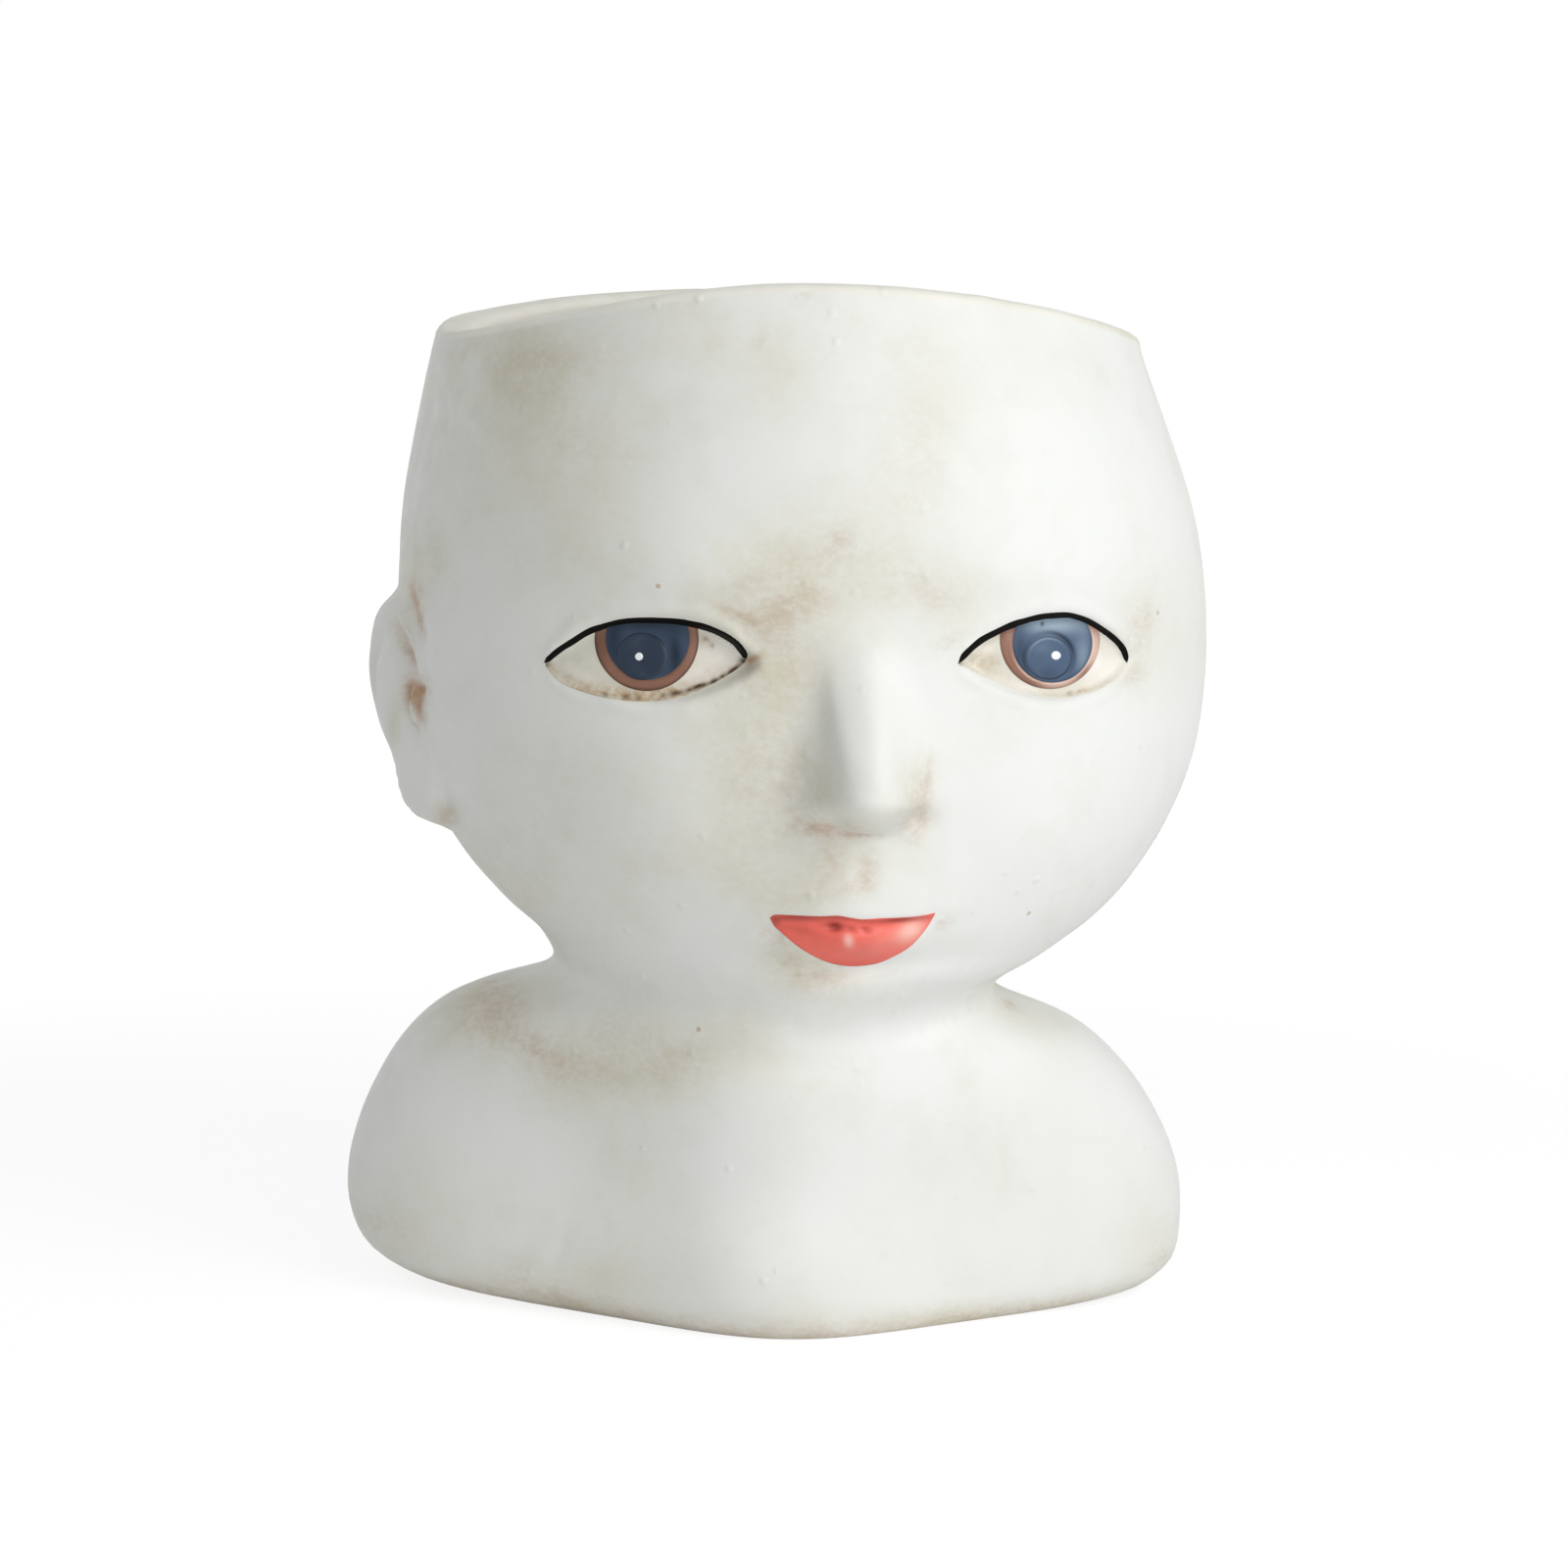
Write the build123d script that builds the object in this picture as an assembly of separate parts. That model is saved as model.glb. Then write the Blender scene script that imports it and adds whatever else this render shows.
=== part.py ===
from build123d import *
import math
import os

# A doll's head on small shoulders, cast hollow as a plant pot.
# Millimetres, +Z up. The shoulders face -Y, and the origin is at the bottom of the
# whole object, under the middle of its outline seen from above.

# Overall sizes of the casting
total_height = 240
neck_height = 75
bust_width = 203
bust_front = 50
bust_back = 58
chest_reach = 20
chest_width = 76
throat_reach = 25
neck_width = 108
neck_front = 50
neck_back = 46
head_width = 194
head_front = 91
head_back = 100
head_drift = 6
shoulder_fall = 6
head_turn = 7.5

# Walls, planting well, drain and rim
wall = 10.5
floor_thickness = 14
recess_height = 36
recess_draft = 6
drain_diameter = 16
rim_dip = 10.5
rim_fall = 0.8

# Face, placed in the head's own frame
nose_top = 169
nose_tip = 128
nose_under = 120
nose_reach = 16.5
nose_ridge_width = 12
nose_tip_width = 20
nostril_spacing = 19
nostril_reach = 3.5
nostril_size = 5
brow_reach = 2.8
brow_height = 178
socket_depth = 2
cheek_reach = 2.5
cheek_spacing = 92
cheek_height = 118
cheek_size = 20
mouth_mound_reach = 4
mouth_mound_width = 44
chin_reach = 3
chin_width = 32
chin_height = 80

# Eyes: the head's right one is the viewer's left one
eye_spacing = 90
eye_height = 157
eye_length = 46
right_eye_tilt = 5
left_eye_tilt = 0
right_eye_rise = 9
left_eye_rise = 9.8
right_eye_drop = 8.5
left_eye_drop = 7.5
lash_width = 1.5
eyeball_radius = 80
eyeball_thickness = 2
eye_recess = 0.3
iris_ring_diameter = 22.4
iris_diameter = 18
iris_lift = 4.8
pupil_diameter = 10.6
pupil_lift = 0.8
pupil_rise = 0.7
highlight_diameter = 2.1
highlight_shift = 1
highlight_rise = 0.2
paint_depth = 0.8

# Mouth
mouth_height = 101
mouth_width = 36.5
lip_height = 11.5
lip_reach = 2
lip_parting = 1

# Ears: the head's right one sits further forward than its left one
ear_height = 54
ear_length = 36
ear_middle_height = 139
right_ear_set_back = -9
left_ear_set_back = 14
ear_reach = 6.8
ear_ridge_reach = 0.8
ear_groove_depth = 2
ear_bowl_depth = 4.5

# Drain plug
plug_clearance = 0.3
plug_flange_diameter = 28
plug_flange_thickness = 3
plug_grip_height = 9
plug_grip_width = 12
plug_grip_thickness = 5
plug_taper = 0.8

overrun = 5

# Rings of the outer skin, from the base up to the neck and from the neck up to the rim.
# Each row is shares of height, half width, front reach, back reach and sideways drift,
# and then how square the ring is.
bust_ring_shares = [
    (0.00, 0.81, 0.88, 0.88, 0.55, 2.15),
    (0.03, 0.895, 0.925, 0.92, 0.35, 2.2),
    (0.09, 0.968, 0.97, 0.97, 0.08, 2.2),
    (0.24, 1.00, 1.00, 1.00, -0.20, 2.2),
    (0.44, 0.985, 0.98, 0.98, -0.13, 2.2),
    (0.64, 0.92, 0.95, 0.93, -0.18, 2.2),
    (0.78, 0.845, 0.92, 0.89, -0.27, 2.2),
    (0.89, 0.74, 0.90, 0.86, -0.28, 2.15),
]
neck_ring_shares = (1.00, 1.00, 1.00, 1.00, -0.20, 2.0)
head_ring_shares = [
    (0.06, 0.63, 0.80, 0.65, 0.80, 2.0),
    (0.11, 0.735, 0.87, 0.76, 1.00, 2.0),
    (0.18, 0.84, 0.92, 0.86, 1.00, 2.0),
    (0.26, 0.92, 0.955, 0.93, 1.00, 2.0),
    (0.36, 0.98, 0.98, 0.97, 0.95, 2.0),
    (0.48, 1.00, 0.99, 0.99, 0.90, 2.0),
    (0.59, 0.995, 1.00, 1.00, 0.80, 2.0),
    (0.70, 0.97, 0.995, 0.985, 0.60, 2.0),
    (0.81, 0.92, 0.96, 0.95, 0.30, 2.0),
    (0.92, 0.865, 0.91, 0.89, 0.05, 2.0),
    (1.05, 0.80, 0.84, 0.82, 0.00, 2.0),
]

head_height = total_height - neck_height


def ring_rows():
    """Height, half width, front reach, back reach, drift and squareness of each ring."""
    rows = []
    for height, width, front, back, drift, square in bust_ring_shares:
        rows.append((height * neck_height, width * bust_width / 2, front * bust_front,
                     back * bust_back, drift * head_drift, square))
    height, width, front, back, drift, square = neck_ring_shares
    rows.append((height * neck_height, width * neck_width / 2, front * neck_front,
                 back * neck_back, drift * head_drift, square))
    for height, width, front, back, drift, square in head_ring_shares:
        rows.append((neck_height + height * head_height, width * head_width / 2,
                     front * head_front, back * head_back, drift * head_drift, square))
    return rows


rings = ring_rows()


def ring_at(height):
    """The ring at a height, on a smooth curve through the named rings."""
    last = len(rings) - 1
    low = max(i for i in range(last) if rings[i][0] <= height or i == 0)
    span = rings[low + 1][0] - rings[low][0]
    t = (height - rings[low][0]) / span

    def slope(i, k):
        before = max(i - 1, 0)
        after = min(i + 1, last)
        return (rings[after][k] - rings[before][k]) / (rings[after][0] - rings[before][0])

    row = []
    for k in range(1, 6):
        a, b = rings[low][k], rings[low + 1][k]
        rise = slope(low, k) * span
        run_out = slope(low + 1, k) * span
        row.append((2 * t**3 - 3 * t**2 + 1) * a + (t**3 - 2 * t**2 + t) * rise
                   + (3 * t**2 - 2 * t**3) * b + (t**3 - t**2) * run_out)
    return row


def step(start, end, value):
    """Runs smoothly from 0 at the start to 1 at the end."""
    t = min(max((value - start) / (end - start), 0), 1)
    return t * t * (3 - 2 * t)


# Sizes of the face's soft forms, as shares of the eye, the mouth and the chin
socket_shares = (0.37, 1.1)
cheek_rise_share = 0.9
lower_lip_mound_shares = (0.36, 0.4)
parting_shares = (0.42, 0.1)
parting_place_share = 0.17
chin_rise_share = 0.2
nose_edge_power = 2.2


def bump(x, z, x_middle, z_middle, x_size, z_size):
    """A soft hill of height 1."""
    return math.exp(-((x - x_middle) / x_size) ** 2 - ((z - z_middle) / z_size) ** 2)


def nose_relief(x, z):
    """How far the nose stands out of the face."""
    if z > nose_tip:
        along = step(nose_top, nose_tip, z)
    else:
        along = step(nose_under, nose_tip, z)
    half_width = (nose_ridge_width + (nose_tip_width - nose_ridge_width) * along) / 2
    relief = nose_reach * along * math.exp(-abs(x / half_width) ** nose_edge_power)
    for side in (-1, 1):
        relief += nostril_reach * bump(x, z, side * nostril_spacing / 2, nose_tip - nostril_size / 2,
                                       nostril_size, nostril_size)
    return relief


def face_relief(x, z):
    """How far the face stands out of the plain head at a place seen from the front."""
    relief = nose_relief(x, z)
    for side in (-1, 1):
        eye = side * eye_spacing / 2
        relief -= socket_depth * bump(x, z, eye, eye_height, eye_length * socket_shares[0],
                                      right_eye_rise * socket_shares[1])
        relief += brow_reach * bump(x, z, eye, brow_height, eye_length / 2, right_eye_rise)
        relief += cheek_reach * bump(x, z, side * cheek_spacing / 2, cheek_height,
                                     cheek_size, cheek_size * cheek_rise_share)
    relief += mouth_mound_reach * bump(x, z, 0, mouth_height, mouth_mound_width / 2, lip_height)
    relief += lip_reach * bump(x, z, 0, mouth_height - lip_height / 2,
                               mouth_width * lower_lip_mound_shares[0],
                               lip_height * lower_lip_mound_shares[1])
    relief -= lip_parting * bump(x, z, 0, mouth_height - lip_height * parting_place_share,
                                 mouth_width * parting_shares[0], lip_height * parting_shares[1])
    relief += chin_reach * bump(x, z, 0, chin_height, chin_width / 2, chin_width * chin_rise_share)
    return relief


# Places in the ear, as shares of its half length and half height from its middle
ear_lean_share = 0.1
ear_squareness = 2.4
ear_front_share = 0.2
ear_flare_shares = (-0.95, 0.3)
ear_waist_shares = (-0.48, 0.26, 0.2)
ear_top_shares = (0.3, 1.1, 0.4)
ear_lobe_share = 0.16
lobe_narrowing_share = 0.25
ear_foot_shares = (1.14, 1.06)
ear_edge_shares = (0.84, 0.93)
ear_hollow_shares = (-0.2, 0.06)
ear_ridge_shares = (0.84, 0.1)
ear_groove_shares = (0.6, 0.14)
ear_bowl_shares = (-0.62, 0.0, 0.27, 0.24)


def ear_relief(y, z, set_back):
    """How far an ear stands out of the side of the head."""
    up = (z - ear_middle_height) / (ear_height / 2)
    along = (y - set_back) / (ear_length / 2) - ear_lean_share * up
    lobe = step(-0.3, -0.8, up)

    def ring(side, rise):
        across = abs(side) / (1 - lobe_narrowing_share * lobe)
        return (across ** ear_squareness + abs(rise) ** ear_squareness) ** (1 / ear_squareness)

    foot, full = (a + (b - a) * lobe for a, b in (ear_foot_shares, ear_edge_shares))
    outline = step(foot, full, ring(along, up))
    inner = ring(along - ear_hollow_shares[0], up - ear_hollow_shares[1])
    lift = ear_reach * (ear_front_share + (1 - ear_front_share) * step(*ear_flare_shares, along))
    waist_place, waist_size, waist_share = ear_waist_shares
    waist = waist_share * math.exp(-((up - waist_place) / waist_size) ** 2)
    top_start, top_end, top_share = ear_top_shares
    lift *= 1 - waist + ear_lobe_share * lobe - top_share * step(top_start, top_end, up)
    above = step(-0.1, 0.25, up)
    ridge = ear_ridge_reach * above * math.exp(-((inner - ear_ridge_shares[0]) / ear_ridge_shares[1]) ** 2)
    groove = ear_groove_depth * above * math.exp(-((inner - ear_groove_shares[0]) / ear_groove_shares[1]) ** 2)
    bowl = ear_bowl_depth * bump(along, up, *ear_bowl_shares)
    return outline * (lift + ridge - groove - bowl)


# Heights of the changes between bust and head, as shares of the neck's height
head_start_shares = (0.93, 1.12)
chest_shares = (0.2, 1)
throat_shares = (0.3, 0.95, 1.2)
throat_width_share = 0.46
lean_start_share = 0.4


def skin_point(azimuth, height, inset=0):
    """A point of the outer skin. Azimuth 0 is the face and 90 degrees the head's left."""
    half_width, front, back, drift, square = ring_at(height)
    side, ahead = math.sin(azimuth), math.cos(azimuth)
    reach = front if ahead > 0 else back
    x = (half_width - inset) * math.copysign(abs(side) ** (2 / square), side)
    y = -(reach - inset) * math.copysign(abs(ahead) ** (2 / square), ahead)
    in_head = step(neck_height * head_start_shares[0], neck_height * head_start_shares[1], height)
    if inset == 0:
        front_share = step(0, 0.3, ahead)
        chest = chest_reach * math.exp(-(2 * x / chest_width) ** 2)
        chest *= step(neck_height * chest_shares[1], neck_height * chest_shares[0], height)
        throat = throat_reach * math.exp(-(x / (neck_width * throat_width_share)) ** 2)
        low, full, top = (neck_height * share for share in throat_shares)
        throat *= step(low, full, height) * step(top, full, height)
        y -= front_share * (chest + throat)
        ear_place = right_ear_set_back if x < 0 else left_ear_set_back
        ear = ear_relief(y, height, ear_place) * step(0.5, 0.9, abs(side))
        y -= in_head * front_share * face_relief(x, height)
        x += in_head * math.copysign(ear, x)
    turn = math.radians(head_turn) * in_head
    x, y = x * math.cos(turn) - y * math.sin(turn), x * math.sin(turn) + y * math.cos(turn)
    lean = step(0, neck_height * lean_start_share, height) * (1 - in_head)
    z = height - lean * shoulder_fall * x / bust_width
    return x + drift, y, z


def face_point(x, height):
    """The skin at a distance across the face, in the head's own frame, and a height."""
    half_width, front, back, drift, square = ring_at(height)
    side = (abs(x) / half_width) ** (square / 2)
    return skin_point(math.copysign(math.asin(min(side, 1)), x), height)


# Solids

# Directions round a ring: closest at the nose and the ears. Each stretch is the degrees
# where it ends and how many steps it takes.
column_stretches = [(26, 22), (66, 13), (114, 37), (180, 16)]

# Heights of the rows: each stretch is where it ends and how many steps it takes.
row_end_shares = (0.03, 0.12, 0.80, 1.12, 0.6)
row_stretches = [
    (neck_height * row_end_shares[0], 1),
    (neck_height * row_end_shares[1], 3),
    (neck_height * row_end_shares[2], 8),
    (neck_height * row_end_shares[3], 9),
    (mouth_height - lip_height, 3),
    (mouth_height + lip_height / 2, 9),
    (nose_under, 6),
    (nose_tip, 5),
    (nose_top, 14),
    (ear_middle_height + ear_height * row_end_shares[4], 4),
    (total_height, 10),
    (total_height + overrun, 1),
]


def stretches(start, ends):
    """Evenly spaced values from the start through each stretch."""
    values = [start]
    for end, count in ends:
        first = values[-1]
        values += [first + (end - first) * (i + 1) / count for i in range(count)]
    return values


half_turn = stretches(0, column_stretches)
columns = [math.radians(a) for a in half_turn]
columns += [math.radians(360 - a) for a in reversed(half_turn[1:-1])]
column_places = [a / (2 * math.pi) for a in columns] + [1]


def ring_wire(height, inset=0, level=None):
    """A closed smooth ring of the skin, or of a flat level inside it."""
    points = [Vector(*skin_point(a, height, inset)) for a in columns]
    if level is not None:
        points = [Vector(p.X, p.Y, level) for p in points]
    return Wire([Edge.make_spline(points, periodic=True, parameters=column_places)])


def outer_skin():
    """The whole head and shoulders, filled, from below the base up to above the rim."""
    foot = ring_wire(0, level=-overrun)
    return Solid.make_loft([foot] + [ring_wire(height) for height in stretches(0, row_stretches)])


def planting_well():
    """The space for soil, from its floor through the neck and out of the top."""
    floor = recess_height + floor_thickness
    wires = [ring_wire(neck_height, wall, floor), ring_wire(neck_height, wall, (floor + neck_height) / 2)]
    for height, *rest in rings:
        if height >= neck_height:
            wires.append(ring_wire(height, wall, height))
    return Solid.make_loft(wires)


def underside_recess():
    """The hollow under the shoulders."""
    return Solid.make_loft([
        ring_wire(0, wall, -overrun),
        ring_wire(0, wall, 0),
        ring_wire(0, wall + recess_draft / 2, recess_height / 2),
        ring_wire(0, wall + recess_draft, recess_height),
    ])


def rim_cutter():
    """What lies above the arched rim, which is highest at the forehead and the back."""
    half_rim = ring_at(total_height)[0]
    reach = head_width / 2 + overrun
    drop = rim_dip * (reach / half_rim) ** 2
    left = total_height - drop + rim_fall
    right = total_height - drop - rim_fall
    roof = total_height + 2 * overrun
    arch = ThreePointArc((-reach, left), (0, total_height), (reach, right))
    sides = Polyline((reach, right), (reach, roof), (-reach, roof), (-reach, left))
    profile = make_face(Plane.XZ * (arch + sides))
    block = extrude(profile, amount=head_back + overrun, both=True)
    return Rot(0, 0, head_turn) * block


def eye_plane(side, tilt):
    """The plane that touches the skin at the middle of an eye, x to the viewer's right."""
    x = side * eye_spacing / 2
    middle = Vector(*face_point(x, eye_height))
    across = Vector(*face_point(x + eye_length / 4, eye_height)) - Vector(*face_point(x - eye_length / 4, eye_height))
    reach = (right_eye_rise + right_eye_drop) / 2
    up = Vector(*face_point(x, eye_height + reach)) - Vector(*face_point(x, eye_height - reach))
    return Plane(origin=middle, x_dir=across, z_dir=across.cross(up)).rotated((0, 0, tilt))


upper_lid_shares = [(-1, 0), (-0.6, 0.73), (0, 1), (0.6, 0.75), (1, 0)]
lower_lid_shares = [(1, 0), (0.6, -0.68), (0, -1), (-0.6, -0.7), (-1, 0)]
lower_lip_shares = [(1, 0.04), (0.84, -0.36), (0.6, -0.76), (0.3, -0.95), (0, -1), (-0.3, -0.9),
                    (-0.6, -0.64), (-0.84, -0.3), (-1, 0)]
upper_lip_shares = [(-1, 0), (-0.4, 0.02), (0.1, -0.05), (0.6, -0.02), (1, 0.04)]


def share_curve(shares, half_length, height, extra=0):
    """A smooth line through shares, its height grown in the middle by the extra."""
    return Spline(*[(x * half_length, y * (height + extra)) for x, y in shares])


def prism(plane, outline, depth, rise):
    """An outline drawn on a plane, run from below it to above it."""
    return extrude(plane.offset(-depth) * outline, amount=depth + rise)


def eye_pieces(name, side, tilt, rise, drop, skin):
    """One eye's solids by node name, and the spaces that they need in the head."""
    plane = eye_plane(side, tilt)
    deep = eyeball_thickness + eye_length / 4
    opening = make_face(share_curve(upper_lid_shares, eye_length / 2, rise)
                        + share_curve(lower_lid_shares, eye_length / 2, drop))
    almond = prism(plane, opening, deep, deep)
    centre = plane.offset(-eyeball_radius - eye_recess)

    def ball(grow):
        return centre * Sphere(eyeball_radius + grow)

    def disc(diameter, lift, shift=0):
        return prism(plane, Pos(side * shift, lift) * Circle(diameter / 2), deep, deep) & almond

    pocket = almond - ball(-eyeball_thickness)
    paint = ball(0) - ball(-paint_depth)
    ring_space = disc(iris_ring_diameter, iris_lift) & paint
    iris_space = disc(iris_diameter, iris_lift) & paint
    pupil_space = disc(pupil_diameter, pupil_lift) & (ball(pupil_rise) - ball(-paint_depth))
    dot_place = disc(highlight_diameter, pupil_lift + highlight_shift / 2, highlight_shift)
    dot = dot_place & (ball(pupil_rise + highlight_rise) - ball(0))

    lash_outline = make_face(share_curve(upper_lid_shares, eye_length / 2, rise, lash_width)
                             + share_curve(upper_lid_shares, eye_length / 2, rise))
    lash_block = prism(plane, lash_outline, deep, deep) & skin
    inward = plane.z_dir * -paint_depth
    lash = lash_block - skin.moved(Location(inward))
    return {
        "eyeball_" + name: (almond & (ball(0) - ball(-eyeball_thickness))) - ring_space - pupil_space,
        "iris_ring_" + name: ring_space - iris_space - pupil_space,
        "iris_" + name: iris_space - pupil_space,
        "pupil_" + name: pupil_space - dot,
        "eye_highlight_" + name: dot,
        "lash_line_" + name: lash,
    }, [pocket, lash]


def lips_solid(skin):
    """The painted lips: a crescent of the skin."""
    drift = ring_at(mouth_height)[3]
    turn = math.radians(head_turn)
    front = Vector(math.sin(turn), -math.cos(turn), 0)
    across = Vector(math.cos(turn), math.sin(turn), 0)
    plane = Plane(origin=(drift, 0, mouth_height), x_dir=across, z_dir=front)
    outline = make_face(share_curve(upper_lip_shares, mouth_width / 2, lip_height)
                        + share_curve(lower_lip_shares, mouth_width / 2, lip_height))
    block = prism(plane, outline, 0, head_front + nose_reach + overrun) & skin
    return block - skin.moved(Location(front * -paint_depth))


def drain_plug():
    """A rubber plug that seats on the floor of the well, with a grip to lift it by."""
    floor = recess_height + floor_thickness
    radius = drain_diameter / 2 - plug_clearance
    stem = Solid.make_cone(radius - plug_taper, radius, floor_thickness)
    stem = Pos(0, 0, recess_height) * stem
    flange = Pos(0, 0, floor + plug_flange_thickness / 2) * Cylinder(plug_flange_diameter / 2,
                                                                     plug_flange_thickness)
    flange = fillet(flange.edges().group_by(Axis.Z)[-1], plug_flange_thickness / 3)
    grip = Box(plug_grip_width, plug_grip_thickness, plug_grip_height + plug_flange_thickness / 2)
    grip = fillet(grip.edges().group_by(Axis.Z)[-1], plug_grip_thickness / 3)
    grip = Pos(0, 0, floor + plug_flange_thickness / 2
               + (plug_grip_height + plug_flange_thickness / 2) / 2) * grip
    return stem + flange + grip


def build():
    """Every node by name, with the origin under the middle of the casting."""
    skin = outer_skin()
    right_eye, right_spaces = eye_pieces("right", -1, right_eye_tilt, right_eye_rise, right_eye_drop, skin)
    left_eye, left_spaces = eye_pieces("left", 1, left_eye_tilt, left_eye_rise, left_eye_drop, skin)
    lips = lips_solid(skin)
    casting = skin - planting_well() - underside_recess()
    casting -= Pos(0, 0, recess_height) * Cylinder(drain_diameter / 2, 3 * floor_thickness)
    casting -= rim_cutter()
    casting -= Pos(0, 0, -overrun) * Box(2 * bust_width, 2 * bust_width, 2 * overrun)
    for space in right_spaces + left_spaces + [lips]:
        casting -= space
    nodes = {"head_casting": casting, "lips": lips, "drain_plug": drain_plug()}
    nodes.update(right_eye)
    nodes.update(left_eye)
    middle = casting.bounding_box().center()
    home = Location((-middle.X, -middle.Y, 0))
    return {name: solid.moved(home) for name, solid in nodes.items()}


os.makedirs("parts", exist_ok=True)
for name, solid in build().items():
    export_step(solid, "parts/" + name + ".step")
    print(name, round(solid.volume, 1), len(solid.solids()))
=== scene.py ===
"""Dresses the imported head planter: whitewashed casting, painted eyes and lips, rubber plug."""

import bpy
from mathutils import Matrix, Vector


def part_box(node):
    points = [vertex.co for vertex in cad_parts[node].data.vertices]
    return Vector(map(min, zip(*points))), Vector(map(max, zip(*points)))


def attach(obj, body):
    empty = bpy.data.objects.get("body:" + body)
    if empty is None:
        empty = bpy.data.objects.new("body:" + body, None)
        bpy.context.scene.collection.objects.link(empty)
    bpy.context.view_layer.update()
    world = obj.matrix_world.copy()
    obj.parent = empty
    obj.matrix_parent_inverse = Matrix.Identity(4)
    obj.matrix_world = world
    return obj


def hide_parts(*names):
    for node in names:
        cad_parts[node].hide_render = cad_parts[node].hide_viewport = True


bl_info = {
    "name": "Head planter",
    "version": (1, 0, 0),
    "blender": (4, 5, 0),
    "location": "3D View > Sidebar > Head planter",
    "description": "Builds the looks of a doll's-head plant pot around its packed model",
    "category": "Object",
}

import math

import bmesh
import bpy
from mathutils import Matrix, Vector, noise
from mathutils.bvhtree import BVHTree
from mathutils.interpolate import poly_3d_calc

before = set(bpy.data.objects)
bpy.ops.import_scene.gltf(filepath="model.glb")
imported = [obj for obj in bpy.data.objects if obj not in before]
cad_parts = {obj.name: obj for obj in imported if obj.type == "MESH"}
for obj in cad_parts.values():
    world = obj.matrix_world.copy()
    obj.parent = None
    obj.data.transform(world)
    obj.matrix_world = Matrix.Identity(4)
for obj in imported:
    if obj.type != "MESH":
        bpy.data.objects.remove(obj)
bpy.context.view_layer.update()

MM = 0.001

# The picture that the photograph's places are read in is this many pixels wide and high
PICTURE_SIDE = 1600

# Painted outlines, as the photograph shows them: right means the head's own right
RIGHT_LASH = [
    (556, 676), (570, 664), (584, 655), (600, 645), (614, 640), (630, 635.5), (650, 633.5),
    (670, 633.5), (690, 634.5), (706, 637), (722, 641), (738, 648), (750, 656), (757, 664), (762, 672),
]
RIGHT_LOWER_LID = [
    (556, 677), (566, 690), (580, 699), (600, 706), (620, 711), (645, 714), (670, 714),
    (690, 711), (705, 706.5), (720, 700), (740, 689), (755, 679), (762, 672.5),
]
LEFT_LASH = [
    (978, 677), (984, 669), (992, 661), (1002, 653), (1015, 646), (1030, 639), (1045, 634),
    (1060, 630), (1075, 628.5), (1090, 628), (1102, 631), (1112, 635), (1122, 641), (1132, 648),
    (1141, 656), (1147, 665), (1150, 676),
]
LEFT_LOWER_LID = [
    (978, 677.5), (985, 680), (1000, 687), (1015, 694), (1030, 700), (1050, 707), (1075, 711),
    (1100, 709), (1120, 703), (1136, 694), (1145, 685), (1150, 676.5),
]
UPPER_LIP = [
    (786, 936), (790, 933.5), (810, 934), (836, 935), (856, 934.5), (868, 936.5), (880, 938),
    (900, 937), (925, 936), (942, 934), (954, 931.5),
]
LOWER_LIP = [
    (786, 937), (790, 944.5), (797, 951), (810, 962), (823, 971), (836, 978), (850, 983), (866, 985.5),
    (881, 985), (897, 982), (912, 975.5), (928, 966), (939, 955), (947, 944.5), (954, 932),
]

# The share of a pupil disc's width that its height has
DISC_HEIGHT_SHARE = 0.93

# Tones of the hand painting: dark paint lines and painted shade, painted light and highlights, and stain,
# in the order that their shares are kept in
TONES = ("dark", "light", "stain")
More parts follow.
